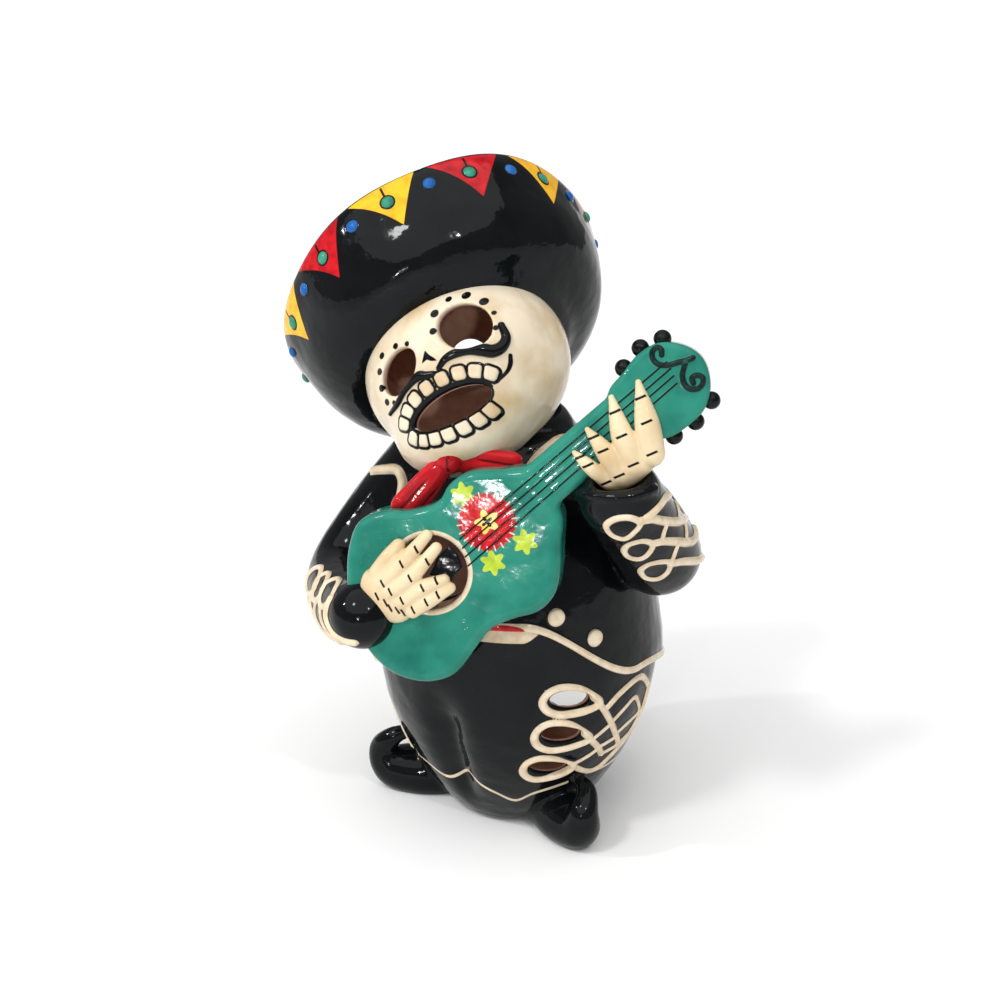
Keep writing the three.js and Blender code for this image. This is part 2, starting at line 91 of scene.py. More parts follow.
def cut(a, b, radius):
    """A form with another cut out of it, and the rim softened."""
    return -melt(-a, b, radius)


def ellipsoid(points, half_sizes):
    scaled = points / half_sizes
    length = np.linalg.norm(scaled, axis=1)
    slope = np.linalg.norm(scaled / half_sizes, axis=1)
    return length * (length - 1) / np.maximum(slope, 1e-6)


def through(points, steps=6, closed=False):
    """A smooth curve through given points; what follows the first three numbers is carried along."""
    spots = np.array(points, float)
    if closed:
        spots = np.vstack([spots[-1:], spots, spots[:2]])
    else:
        spots = np.vstack([2 * spots[:1] - spots[1:2], spots, 2 * spots[-1:] - spots[-2:-1]])
    dims = min(3, spots.shape[1])
    gaps = np.sqrt(np.linalg.norm(np.diff(spots[:, :dims], axis=0), axis=1))
    t = np.linspace(0, 1, steps, endpoint=False)[:, None]
    made = []
    for i in range(1, len(spots) - 2):
        a, b, c, d = spots[i - 1:i + 3]
        g, h, k = gaps[i - 1:i + 2]
        leave = ((b - a) / g - (c - a) / (g + h) + (c - b) / h) * h
        arrive = ((c - b) / h - (d - b) / (h + k) + (d - c) / k) * h
        made.append((2 * t**3 - 3 * t**2 + 1) * b + (t**3 - 2 * t**2 + t) * leave
                    + (3 * t**2 - 2 * t**3) * c + (t**3 - t**2) * arrive)
    if not closed:
        made.append(spots[-2:-1])
    return np.vstack(made)


def beside(offset, line):
    """How far along a straight line places lie, as a share of its length, and how far off it."""
    share = np.clip(offset @ line / max(line @ line, 1e-9), 0, 1)
    return share, np.linalg.norm(offset - share[:, None] * line, axis=1)


def rod(points, path, closed=False, reach=6.0):
    """How far points lie from a round rod; the path's fourth number is its radius there."""
    away = np.full(len(points), FAR)
    ends = np.roll(path, -1, axis=0) if closed else path[1:]
    low = path[:, :3].min(0) - path[:, 3].max() - reach
    high = path[:, :3].max(0) + path[:, 3].max() + reach
    near = np.flatnonzero(((points > low) & (points < high)).all(1))
    local = points[near]
    found = np.full(len(near), FAR)
    for a, b in zip(path, ends):
        pad = max(a[3], b[3]) + reach
        low, high = np.minimum(a, b)[:3] - pad, np.maximum(a, b)[:3] + pad
        here = np.flatnonzero(((local > low) & (local < high)).all(1))
        share, gap = beside(local[here] - a[:3], b[:3] - a[:3])
        found[here] = np.minimum(found[here], gap - a[3] - share * (b[3] - a[3]))
    away[near] = found
    return away


class Outline:
    """A closed flat outline, kept as a map of the distance to it."""

    def __init__(self, points, margin=16.0, pitch=0.4):
        self.pitch = pitch
        self.low = points.min(0) - margin
        counts = np.ceil((points.max(0) + margin - self.low) / pitch).astype(int) + 2
        x, y = np.meshgrid(*[self.low[i] + pitch * np.arange(counts[i]) for i in (0, 1)], indexing="ij")
        spots = np.stack([x.ravel(), y.ravel()], 1)
        away = np.full(len(spots), FAR)
        inside = np.zeros(len(spots), bool)
        for a, b in zip(points, np.roll(points, -1, axis=0)):
            line = b - a
            away = np.minimum(away, beside(spots - a, line)[1])
            crosses = (a[1] > spots[:, 1]) != (b[1] > spots[:, 1])
            rise = line[1] if abs(line[1]) > 1e-9 else 1e-9
            inside ^= crosses & (spots[:, 0] < a[0] + (spots[:, 1] - a[1]) * line[0] / rise)
        self.map = np.where(inside, -away, away).reshape(counts)

    def distance(self, x, y):
        counts = self.map.shape
        u = np.clip((x - self.low[0]) / self.pitch, 0, counts[0] - 1.001)
        v = np.clip((y - self.low[1]) / self.pitch, 0, counts[1] - 1.001)
        i, j = u.astype(int), v.astype(int)
        u, v = u - i, v - j
        near = self.map[i, j] * (1 - v) + self.map[i, j + 1] * v
        far = self.map[i + 1, j] * (1 - v) + self.map[i + 1, j + 1] * v
        return near * (1 - u) + far * u


def slab(flat, z, back, front, edge):
    """A flat outline made thick between two heights, with a rounded edge."""
    tall = np.abs(z - (back + front) / 2) - (front - back) / 2 + edge
    wide = flat + edge
    return np.hypot(np.maximum(wide, 0), np.maximum(tall, 0)) + np.minimum(np.maximum(wide, tall), 0) - edge


BODY_PROFILE = np.array([
    (0, 26), (3, 29), (12, 35.5), (21, 41), (30, 45.5), (39, 49), (49, 52.2), (60, 54), (74, 54), (90, 52),
    (105, 49.5), (118, 46), (130, 41.5), (140, 35), (150, 27), (160, 19), (168, 15)], float)
PROFILE_Z = np.arange(-20, 190, 0.5)
SOFTENING = np.hanning(19)[1:-1] / np.hanning(19).sum()
plain_profile = np.interp(PROFILE_Z, *BODY_PROFILE.T)
plain_profile[PROFILE_Z < 0] = BODY_PROFILE[0, 1] + PROFILE_Z[PROFILE_Z < 0]
PROFILE_R = np.convolve(np.pad(plain_profile, len(SOFTENING) // 2, mode="edge"), SOFTENING, mode="valid")
PROFILE_SLOPE = np.gradient(PROFILE_R, PROFILE_Z)
MM_PER_DEGREE = 0.9
LEGS_FACE, CREASE_DEPTH, CREASE_WIDTH = 4.0, 5.0, 8.0


def turn_from(azimuth, middle):
    return (azimuth - middle + 180) % 360 - 180


def body_radius(z):
    return np.interp(z, PROFILE_Z, PROFILE_R)


def leg_crease(azimuth, z):
    depth = CREASE_DEPTH * step(z, 6, 28) * (1 - step(z, 50, 72))
    front = np.abs(turn_from(azimuth, LEGS_FACE))
    return depth * (np.exp(-(front / CREASE_WIDTH) ** 2) + np.exp(-((180 - front) / CREASE_WIDTH) ** 2))


def round_the_body(points):
    """Azimuth, radius and height of points, and the body's radius there."""
    azimuth = np.degrees(np.arctan2(points[:, 0], -points[:, 1]))
    radius = np.hypot(points[:, 0], points[:, 1])
    z = points[:, 2]
    skin = body_radius(z) - leg_crease(azimuth, z)
    lean = 1 / np.hypot(1, np.interp(z, PROFILE_Z, PROFILE_SLOPE))
    return azimuth, radius, z, skin, lean


def on_body(azimuth, z, out=0.0):
    return around(azimuth, body_radius(z) - leg_crease(azimuth, z) + out, z)


HEAD = Seat((-9.9, -19.5, 180.5), (0.224, -0.871, 0.437), (0.793, 0.423, 0.438))
CRANIUM_AT, CRANIUM_SIZE = np.array([1, 2, -0.4]), np.array([38.4, 33.5, 38.0])
JAW_AT, JAW_SIZE = np.array([-6.3, -19, 6.2]), np.array([24.3, 17.6, 26.0])
MOUTH = ((-0.3, -16.8), (15.2, 5.3), 6.0)
EYES = [((-13.7, 2.2), (9.3, 6.3), 32.0), ((14.5, 8.3), (9.6, 8.4), -40.0)]
FACE_FROM = 8.0


def skull_form(local, inset=0.0):
    cranium = ellipsoid(local - CRANIUM_AT, CRANIUM_SIZE - inset)
    jaw = ellipsoid(local - JAW_AT, JAW_SIZE - inset)
    return melt(cranium, jaw, 6)


def turned(x, y, centre, tilt):
    """Places on the face, measured along and across an oval that is tilted on it."""
    c, s = np.cos(np.radians(tilt)), np.sin(np.radians(tilt))
    x, y = x - centre[0], y - centre[1]
    return x * c + y * s, y * c - x * s


def oval(x, y, wide, tall):
    length = np.hypot(x / wide, y / tall)
    return length * (length - 1) / np.maximum(np.hypot(x / wide**2, y / tall**2), 1e-6)


def face_hole(local, hole):
    centre, (wide, tall), tilt = hole
    along, across = turned(local[:, 0], local[:, 1], centre, tilt)
    return np.maximum(oval(along, across, wide, tall), FACE_FROM - local[:, 2])


HAT = Seat((-14, -8.3, 185.2), (-0.782, 0.438, 0.443), (0, 0, 1))
CROWN_HOLLOW = Outline(through([
    (-30, -6), (24, -6), (24, 2), (33.5, 12), (30.5, 24), (24.5, 36), (14.5, 42.5), (0, 43.5), (-20, 43)], 4, True))

GUITAR = Seat((10.3, -69.1, 124.2), around(28, np.cos(np.radians(15)), np.sin(np.radians(15))),
              (0.5605, 0.4987, 0.6612))
GUITAR_DEPTH, GUITAR_RIM, GUITAR_HOLLOW_BACK = 19.0, 6.0, -15.0
SOUND_HOLE_RADIUS, SOUND_HOLE_BACK, SOUND_HOLE_FRONT = 13.4, -46.0, 4.0
GUITAR_OUTLINE = Outline(through([
    (50, 6), (43, 12), (34, 18.5), (26, 19.5), (19, 17.5), (9, 21.5), (1, 28), (-8, 30.5), (-17, 26), (-26, 17),
    (-33, 7), (-36.5, -6), (-35, -19), (-28, -29), (-18, -33.5), (-7, -31.5), (3, -29.5), (12, -32), (20, -35.5),
    (28, -35), (36, -29.5), (43, -22), (50, -14)], 5, True))

DOOR_WIDTH, DOOR_HEIGHT, DOOR_SILL, DOOR_FROM = 46.0, 58.0, 20.0, 20.0
VENT = Seat((-40.1, 23.1, 168.8), (-0.568, 0.757, -0.327), (0, 0, 1))
VENT_RADIUS, VENT_LENGTH = 7.5, 30.0
HOLLOW_TOP = 164.0


def cavity(points):
    """The hollow inside the wall."""
    azimuth, radius, z, skin, lean = round_the_body(points)
    belly = np.maximum((radius - skin + WALL) * lean, np.maximum(FLOOR - z, z - HOLLOW_TOP))
    skull = skull_form(HEAD.local(points), WALL)
    hat = HAT.local(points)
    crown = CROWN_HOLLOW.distance(np.hypot(hat[:, 0], hat[:, 1]), hat[:, 2])
    guitar = GUITAR.local(points)
    inside = GUITAR_OUTLINE.distance(guitar[:, 0], guitar[:, 1]) + GUITAR_RIM
    box = slab(inside, guitar[:, 2], GUITAR_HOLLOW_BACK, -WALL, 1)
    return np.minimum(melt(melt(belly, skull, 3), crown, 3), box)


LOOPS = [(57, 66.5, 11.5, 5.2), (54, 51.5, 11.5, 5.2), (50, 35.5, 11, 4.6)]
LOOP_TILT, LOOP_CUT = 1.5, 0.72
LOOP_LEVEL, LOOP_REACH = -2.0, 8.0


def loop_eye(azimuth, z, loop):
    """The long eye that is cut inside one of the trouser loops, measured on the cloth."""
    middle, height, half_width, half_height = loop
    across = np.radians(turn_from(azimuth, middle)) * body_radius(height)
    rise = z - height + LOOP_TILT * across / half_width
    return oval(across, rise, half_width * LOOP_CUT, half_height * LOOP_CUT)


def bore(local, radius, back, front):
    """A round hole along z."""
    return np.maximum(np.hypot(local[:, 0], local[:, 1]) - radius,
                      np.abs(local[:, 2] - (back + front) / 2) - (front - back) / 2)


def openings(points):
    """The holes cut through the leather-hard wall."""
    azimuth, radius, z, skin, _ = round_the_body(points)
    guitar = GUITAR.local(points)
    hole = bore(guitar, SOUND_HOLE_RADIUS, SOUND_HOLE_BACK, SOUND_HOLE_FRONT)
    rise = z - DOOR_SILL - DOOR_HEIGHT + DOOR_WIDTH / 2
    arch = np.hypot(points[:, 0], np.maximum(rise, 0)) - DOOR_WIDTH / 2
    door = np.maximum(np.maximum(arch, DOOR_SILL - z), DOOR_FROM - points[:, 1])
    vent = bore(VENT.local(points), VENT_RADIUS, -VENT_LENGTH / 2, VENT_LENGTH / 2)
    made = np.minimum(np.minimum(hole, door), vent)
    head = HEAD.local(points)
    for hole in (MOUTH, *EYES):
        made = np.minimum(made, face_hole(head, hole))
    for loop in LOOPS:
        through_wall = np.abs(radius - skin - LOOP_LEVEL) - LOOP_REACH
        made = np.minimum(made, np.maximum(loop_eye(azimuth, z, loop), through_wall))
    return made


def hollowed(form):
    """The same form with the hollow and the holes taken out."""
    return lambda points: cut(cut(form(points), cavity(points), INNER_SOFT), openings(points), RIM_SOFT)


def slope_of(form, points, reach=0.06):
    """A form's value and its gradient, from four samples round each point."""
    corners = np.array([(1, -1, -1), (-1, -1, 1), (-1, 1, -1), (1, 1, 1)], float)
    values = np.stack([form(points + corner * reach) for corner in corners])
    return values.mean(0), np.einsum("ij,ik->jk", values, corners) / (4 * reach)


def settle(form, points, limit, rounds=2):
    """Points drawn onto the form's surface."""
    for _ in range(rounds):
        value, slope = slope_of(form, points)
        move = slope * (value / np.maximum((slope**2).sum(1), 0.05))[:, None]
        length = np.linalg.norm(move, axis=1)
        points = points - move * np.minimum(1, limit / np.maximum(length, 1e-9))[:, None]
    return points


def skin_of(form, low, high, pitch, seat=None):
    """The surface of a form inside a box, as points and triangles. Only blocks near the surface are worked out."""
    low, high = np.array(low, float), np.array(high, float)
    world = seat.world if seat else (lambda spots: spots)
    block = 4 * pitch
    counts = np.ceil((high - low) / block).astype(int) + 1
    cells = np.stack(np.meshgrid(*[np.arange(n) for n in counts], indexing="ij"), -1).reshape(-1, 3)
    coarse = form(world(low + (cells + 0.375) * block))
    near = np.abs(coarse) < block * 1.25
    field = np.repeat(np.repeat(np.repeat(
        np.clip(coarse, -block, block).reshape(counts), 4, 0), 4, 1), 4, 2).astype(np.float32)
    inner = np.stack(np.meshgrid(*[np.arange(4)] * 3, indexing="ij"), -1).reshape(-1, 3)
    fine = (cells[near][:, None] * 4 + inner[None]).reshape(-1, 3)
    for part in np.array_split(fine, max(1, len(fine) // 400000)):
        field[tuple(part.T)] = form(world(low + part * pitch))
    grid = openvdb.FloatGrid(float(block))
    grid.copyFromArray(np.ascontiguousarray(field))
    spots, quads = grid.convertToQuads(0.0)
    points = settle(form, world(low + spots.astype(float) * pitch), pitch * 0.6)
    return points, np.vstack([quads[:, [0, 1, 2]], quads[:, [0, 2, 3]]]).astype(np.int64)


def split(points, faces, hot):
    """The marked triangles cut in four, and their neighbours to match, so that no crack opens."""
    pairs = np.sort(np.concatenate([faces[:, [0, 1]], faces[:, [1, 2]], faces[:, [2, 0]]]), axis=1)
    edges, which = np.unique(pairs[:, 0] * len(points) + pairs[:, 1], return_inverse=True)
    which = which.reshape(3, -1)
    marked = np.zeros(len(edges), bool)
    marked[which[:, hot]] = True
    number = np.full(len(edges), -1)
    number[marked] = len(points) + np.arange(marked.sum())
    added = (points[edges[marked] // len(points)] + points[edges[marked] % len(points)]) / 2
    middle = number[which]
    count = (middle >= 0).sum(0)
    made = [faces[count == 0]]
    for k in range(3):
        a, b, c = faces[:, k], faces[:, (k + 1) % 3], faces[:, (k + 2) % 3]
        m, n = middle[k], middle[(k + 1) % 3]
        one = (count == 1) & (m >= 0)
        made += [np.stack([a, m, c], 1)[one], np.stack([m, b, c], 1)[one]]
        two = (count == 2) & (middle[(k + 2) % 3] < 0)
        made += [np.stack(three, 1)[two] for three in ([m, b, n], [a, m, n], [a, n, c])]
    a, b, c = faces[count == 3].T
    p, q, r = middle[:, count == 3]
    made += [np.stack(three, 1) for three in ([a, p, r], [p, b, q], [r, q, c], [p, q, r])]
    return np.vstack([points, added]), np.vstack(made), len(points)


SPLIT_ROUNDS, SPLIT_REACH = 2, 0.7


def cast(name, form, low, high, pitch, paint=None, seat=None):
    """A piece in metres: the form's surface, finer along painted edges, with a number per point for each paint."""
    points, faces = skin_of(form, low, high, pitch, seat)
    layers = paint(points) if paint else {}
    for _ in range(SPLIT_ROUNDS if layers else 0):
        corners = points[faces]
        longest = np.linalg.norm(corners - np.roll(corners, 1, axis=1), axis=2).max(1)
        nearest = np.min([np.abs(values)[faces].min(1) for key, values in layers.items() if key != "clay"], axis=0)
        points, faces, first = split(points, faces, nearest < longest * SPLIT_REACH)
        points[first:] = settle(form, points[first:], pitch * 0.3, 1)
        added = paint(points[first:])
        layers = {key: np.concatenate([values, added[key]]) for key, values in layers.items()}
    mesh = bpy.data.meshes.new(name)
    mesh.vertices.add(len(points))
    mesh.vertices.foreach_set("co", (points * METRES).astype(np.float32).ravel())
    mesh.loops.add(faces.size)
    mesh.loops.foreach_set("vertex_index", faces.astype(np.int32).ravel())
    mesh.polygons.add(len(faces))
    mesh.polygons.foreach_set("loop_start", np.arange(0, faces.size, 3, dtype=np.int32))
    mesh.update(calc_edges=True)
    mesh.shade_smooth()
    for key, values in layers.items():
        kept = mesh.attributes.new(key, "FLOAT", "POINT")
        kept.data.foreach_set("value", np.clip(values, -20, 20).astype(np.float32))
    piece = bpy.data.objects.new(name, mesh)
    bpy.context.scene.collection.objects.link(piece)
    print(f"{name}: {len(faces)} triangles")
    return piece


def clay_layer(form, points):
    """Below zero where the glaze ends and bare clay begins: inside, and well into the holes' walls."""
    return np.minimum(form + CLAY_DEPTH, cavity(points) - CLAY_EDGE)


# The trousers.
# They are the lower half of the casting, round and full like a bell, with a crease between the legs. They are
# dipped in black glaze. Loops and a net of cream slip are trailed down the left leg, a few lines down the right.
BLACK = ((13, 15, 17), (6, 7, 9))
CREAM = ((226, 210, 184), (206, 182, 148))
CLAY = ((222, 182, 160), (180, 138, 116))
GLAZE_IOR = 1.26
POOLS, BRUSHING, SHEEN, EARTH, WAVES, PITS = 16.0, 4.0, 6.0, 5.0, 10.0, 2.6
PAINT_EDGE, BARE_EDGE, PIT_SHARE, WAVE_HEIGHT = 0.12, 0.5, 0.14, 0.0005
SMOOTHEST, SMEARED, BARE_ROUGH = 0.05, 0.08, 0.75
LOOP_LINES = [
    [(45, 67.3), (47.5, 71), (52, 72.5), (59, 71.3), (65, 67.5), (70, 62.5), (65, 61), (58, 60.7), (51, 61.5),
     (46.5, 64)],
    [(42, 51.8), (44, 56), (48, 58), (55, 57), (61.5, 52.5), (67, 47), (61, 45.4), (55, 44.8), (48, 45.3),
     (43.5, 48)],
    [(37.7, 35.2), (40, 39.5), (44.7, 41.3), (51, 40.3), (57, 37), (62, 34), (57, 31.2), (50, 30), (43, 30),
     (39, 32)]]
NET_STRONG = [
    [(69.5, 62.5), (72.5, 58.5), (77.1, 51.7), (81, 46), (87.3, 38.2), (89.7, 34.3)],
    [(72.5, 58.8), (80.8, 63.4), (94.6, 65), (104.6, 56.8)],
    [(67, 47), (72.4, 41.5), (77, 36.1)],
    [(62, 34), (69.1, 29.6), (74.4, 28), (79.1, 28.6), (84.3, 31.4), (89.7, 34.3), (98.7, 41), (103.2, 50.3),
     (104.6, 56.8)]]
NET_FINE = [
    [(78, 51.7), (84.5, 55.1), (91.1, 57.4), (97.1, 51.3), (99.7, 46.2)], [(83, 44), (90, 46.1), (98, 47)],
    [(88, 37.2), (95.7, 38.8), (100, 41)], [(69, 46.5), (73.5, 48.9), (77.4, 50.8)], [(74.5, 40.8), (83.5, 42.2)],
    [(77, 36.1), (88.2, 36.6)], [(62, 35.5), (68.4, 37.6), (73.6, 39.9)],
    [(-84, 61), (-68, 58), (-56, 50), (-48, 37), (-40, 25)], [(-78, 36), (-62, 41), (-48, 37)]]
HEM = through([
    (-180, 27), (-100, 25), (-60, 21), (-40, 24), (-20, 26), (-5, 22.6), (8, 28), (15, 24.6), (23.5, 20.8),
    (34, 16.5), (44, 21), (62, 25), (73, 27), (82, 26), (120, 24), (180, 27)], 6)
HEM_HALF = 0.75
WAISTBAND, WAISTBAND_TAPER, WAISTBAND_RISE = (14, 48, 90.8), 37, 5.0
LINE_EDGE, LINE_REACH = 0.2, 2.5


def linear(colour):
    """A given colour, as the shader wants it."""
    share = np.array(colour, float) / 255
    made = np.where(share <= 0.04045, share / 12.92, ((share + 0.055) / 1.055) ** 2.4)
    return (*made.tolist(), 1.0)


class Wire:
    """A socket of a shader, on which sums are written as sums."""

    def __init__(self, shader, socket):
        self.shader, self.socket = shader, socket

    def worked(self, operation, first, second, clamp=False):
        return self.shader.node("ShaderNodeMath", {"operation": operation, "use_clamp": clamp}, [first, second])

    def __add__(self, other):
        return self.worked("ADD", self, other)

    def __rsub__(self, other):
        return self.worked("SUBTRACT", other, self)

    def __mul__(self, other):
        return self.worked("MULTIPLY", self, other)

    __radd__, __rmul__ = __add__, __mul__

    def inside(self, soft):
        """1 where the number is below zero and 0 above it, over a soft edge."""
        return self.worked("SUBTRACT", 0.5, self * (0.5 / soft), clamp=True)


class Shader:
    def __init__(self, name):
        self.material = bpy.data.materials.new(name)
        self.material.use_nodes = True
        self.tree = self.material.node_tree
        self.surface = self.tree.nodes["Principled BSDF"]

    def node(self, kind, settings, inputs, output=0):
        made = self.tree.nodes.new(kind)
        for key, value in settings.items():
            setattr(made, key, value)
        pairs = inputs.items() if isinstance(inputs, dict) else enumerate(inputs)
        for key, value in pairs:
            self.feed(made.inputs[key], value)
        return Wire(self, made.outputs[output])

    def feed(self, socket, value):
        if isinstance(value, Wire):
            self.tree.links.new(value.socket, socket)
        else:
            socket.default_value = value

    def blend(self, share, low, high):
        low, high = [colour if isinstance(colour, Wire) else linear(colour) for colour in (low, high)]
        return self.node("ShaderNodeMix", {"data_type": "RGBA"}, {0: share, 6: low, 7: high}, 2)

    def grain(self, size, detail=2.0):
        """Soft mottling whose patches are about this many millimetres across."""
        place = self.node("ShaderNodeTexCoord", {}, {}, 3)
        return self.node("ShaderNodeTexNoise", {}, {"Vector": place, "Scale": 1000 / size, "Detail": detail})

    def layer(self, name):
        return self.node("ShaderNodeAttribute", {"attribute_name": name}, {}, 2)


def glazed(name, ground, paints=(), clay=True, wave=1.0):
    """A glossy clear glaze over painted colours, with bare brown clay where the layer named clay is below zero."""
    shader = Shader(name)
    pooled = shader.node("ShaderNodeMapRange", {}, {0: shader.grain(POOLS, 3.0), 1: 0.42, 2: 0.75})
    colour = shader.blend(pooled, *ground)
    brush = shader.node("ShaderNodeMapRange", {}, {0: shader.grain(BRUSHING, 3.0), 1: 0.4, 2: 0.75})
    for layer, paint in paints:
        colour = shader.blend(shader.layer(layer).inside(PAINT_EDGE), colour, shader.blend(brush, *paint))
    rough = SMOOTHEST + SMEARED * shader.grain(SHEEN)
    if clay:
        bare = shader.layer("clay").inside(BARE_EDGE)
        colour = shader.blend(bare, colour, shader.blend(1 - shader.grain(EARTH, 4.0), *CLAY))
        rough = rough + bare * BARE_ROUGH
    shader.feed(shader.surface.inputs["Base Color"], colour)
    shader.feed(shader.surface.inputs["Roughness"], rough)
    shader.surface.inputs["IOR"].default_value = GLAZE_IOR
    relief = shader.grain(WAVES, 1.0) + PIT_SHARE * shader.grain(PITS, 1.0)
    bump = shader.node("ShaderNodeBump", {}, {"Strength": 1.0, "Distance": WAVE_HEIGHT * wave, "Height": relief})
    shader.feed(shader.surface.inputs["Normal"], bump)
    return shader.material


def laid(form, spots, radius, closed=False):
    """A line of slip trailed over a form through given places."""
    path = through([(*spot, radius) for spot in spots], 4, closed)
    path[:, :3] = settle(form, path[:, :3], 4.0, 4)
    return path


def trails(form, *groups):
    """Slip trailed over a form: each group is its lines, their half width, and whether their ends meet."""
    return [(laid(form, line, radius, closed), closed) for lines, radius, closed in groups for line in lines]


def trail(points, paths):
    """How far points lie from a set of trailed lines."""
    return np.min([rod(points, path, closed, LINE_REACH) for path, closed in paths], axis=0)


JACKET_FACES, JACKET_PROUD = 27.0, 2.4
JACKET_FRONT, SIDE_DROP, BACK_DROP, RIGHT_DROP = 96.0, 26.0, 12.0, 8.0


def jacket_edge(azimuth):
    """The height of the jacket's hem: cut high in front of the waist, lower at the sides."""
    turn = turn_from(azimuth, JACKET_FACES)
    gap = np.abs(turn)
    rise = JACKET_FRONT - SIDE_DROP * step(gap, 10, 62) - BACK_DROP * step(gap, 62, 115)
    return rise - RIGHT_DROP * (step(gap, 40, 80) - step(gap, 110, 150)) * (turn < 0)


def legs_form(points):
    azimuth, radius, z, skin, lean = round_the_body(points)
    side = cut((radius - skin) * lean, z - 1.5, 3)
    return np.maximum(np.maximum(side, -z), z - jacket_edge(azimuth) - 7)


LOOP_LINES, NET_STRONG, NET_FINE = [[[on_body(*spot) for spot in line] for line in lines]
                                    for lines in (LOOP_LINES, NET_STRONG, NET_FINE)]
TROUSER_TRAILS = trails(legs_form, (LOOP_LINES, 1.4, True), (NET_STRONG, 1.15, False), (NET_FINE, 0.8, False))


def trousers_form(points):
    return melt(legs_form(points), trail(points, TROUSER_TRAILS), 0.8)


def trousers_paint(points):
    azimuth, radius, z, skin, lean = round_the_body(points)
    start, end, low = WAISTBAND
    taper = WAISTBAND_RISE * step(azimuth, WAISTBAND_TAPER, end)
    band = np.maximum(np.maximum(start - azimuth, azimuth - end) * MM_PER_DEGREE, low + taper - z)
    hem = np.abs(z - np.interp(azimuth, *HEM.T)) - HEM_HALF
    cream = np.minimum(np.minimum(hem, band), trail(points, TROUSER_TRAILS) - LINE_EDGE)
    return {"cream": cream, "clay": clay_layer(trousers_form(points), points)}


trousers = cast("trousers", hollowed(trousers_form), (-59, -59, -1), (59, 59, 106), 1.55, trousers_paint)
trousers.data.materials.append(glazed("black glaze, trousers", BLACK, [("cream", CREAM)]))
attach(trousers, "root")
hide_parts("figurine")

# The boots.
# Two pointed boots stick out under the trousers, their toes curled up until they touch the cloth. They are
# pressed separately and luted on with slip before the figure is dipped in the black glaze.
BOOTS = [(63, 67), (-57, -54)]
BOOT_ROOT = 2.2


def boot_path(azimuth, tip):
    spots = [(azimuth, 18, 9, 9), (azimuth, 32, 9.5, 9.5), (azimuth, 43, 9, 9), (azimuth, 51, 9.5, 8),
             (azimuth, 54, 16.5, 5.8), (tip, 50, 23.5, 3.8), (tip, 44.5, 26, 2.6)]
    return through([(*around(turn, radius, z), thick) for turn, radius, z, thick in spots], 10)


BOOT_PATHS = [boot_path(*boot) for boot in BOOTS]
SOLES = [Seat(around(azimuth, 36, 6), (0, 0, 1), around(azimuth, 1, 0)) for azimuth, _ in BOOTS]
SOLE_SIZE = np.array([20, 10.5, 9.0])


def boots_form(points):
    return np.minimum(*[melt(rod(points, path), ellipsoid(sole.local(points), SOLE_SIZE), 3)
                        for path, sole in zip(BOOT_PATHS, SOLES)])


def fused(form, ground, points, fillet):
    """A form with a soft corner where it meets the clay that it stands on, and no skin beyond that corner."""
    own = form(points)
    return np.maximum(melt(own, ground(points), fillet), own - 0.7 * fillet)


def boots_clay(points):
    whole = np.maximum(fused(boots_form, legs_form, points, 2.5), -BOOT_ROOT - legs_form(points))
    return np.maximum(cut(whole, openings(points), RIM_SOFT), -points[:, 2])


boots = cast("boots", boots_clay, (-60, -55, -1), (65, 5, 32), 0.8)
boots.data.materials.append(glazed("black glaze, boots", BLACK, clay=False))
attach(boots, "root")
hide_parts("figurine")

# The jacket.
# The short charro jacket is a second skin of clay over the trousers' waist, rounded at its hem, with a stiff
# collar round the neck. It is black glaze, edged with a thick cream line; two buttons are cream slip domes.
COLLAR = np.array([(138, 33), (142, 31), (150, 26), (156, 22), (160, 20)], float)
COLLAR_LOW, COLLAR_TOP, COLLAR_RISE, COLLAR_HIGH = 139.0, 160.0, 2.0, 170.0
COLLAR_SHIFT = (2, -4)
BRAID_EDGE = 0.25
SHOULDERS_TOP, CHEST = 164.0, 140.0
BORDER, BORDER_PROUD, BORDER_SOFT, PROUD_TOP = 1.75, 0.7, 1.5, 0.3
BUTTONS = [Seat(on_body(azimuth, z, JACKET_PROUD), around(azimuth, 1, 0), (0, 0, 1))
           for azimuth, z in ((50.7, 101), (66.8, 90.6))]
BUTTON_SIZE = np.array([3.3, 3.3, 1.9])
SASH_AT, SASH_SIZE = (30.0, 97.0), (7.0, 2.0)
RED = ((196, 28, 36), (140, 14, 24))
LAPEL = [(18, -20, 149), (19.5, -15, 154), (22.5, -5.5, 158), (27, 4, 156)]


def collar_form(points):
    x, y = points[:, 0] - COLLAR_SHIFT[0], points[:, 1] - COLLAR_SHIFT[1]
    azimuth = np.degrees(np.arctan2(x, -y))
    z = points[:, 2] - COLLAR_RISE * np.cos(np.radians(azimuth - COLLAR_HIGH))
    wall = (np.hypot(x, y) - np.interp(z, *COLLAR.T)) * 0.85
    return np.maximum(-melt(-wall, COLLAR_TOP - z, 2), COLLAR_LOW - z)


def jacket_ground(points):
    azimuth, radius, z, skin, lean = round_the_body(points)
    edge = jacket_edge(azimuth)
    proud = JACKET_PROUD * (CHEST - z) / (CHEST - edge) + PROUD_TOP
    proud = np.clip(proud, 0, JACKET_PROUD + PROUD_TOP)
    border = BORDER_PROUD * np.exp(-((z - edge - BORDER) / BORDER_SOFT) ** 4)
    side = (radius - skin - proud - border) * lean
    side = -melt(-side, (z - edge) * 0.9, 2.0)
    return melt(-melt(-side, SHOULDERS_TOP - z, 2), collar_form(points), 2)


LAPEL_TRAIL = trails(jacket_ground, ([LAPEL], 1.6, False))


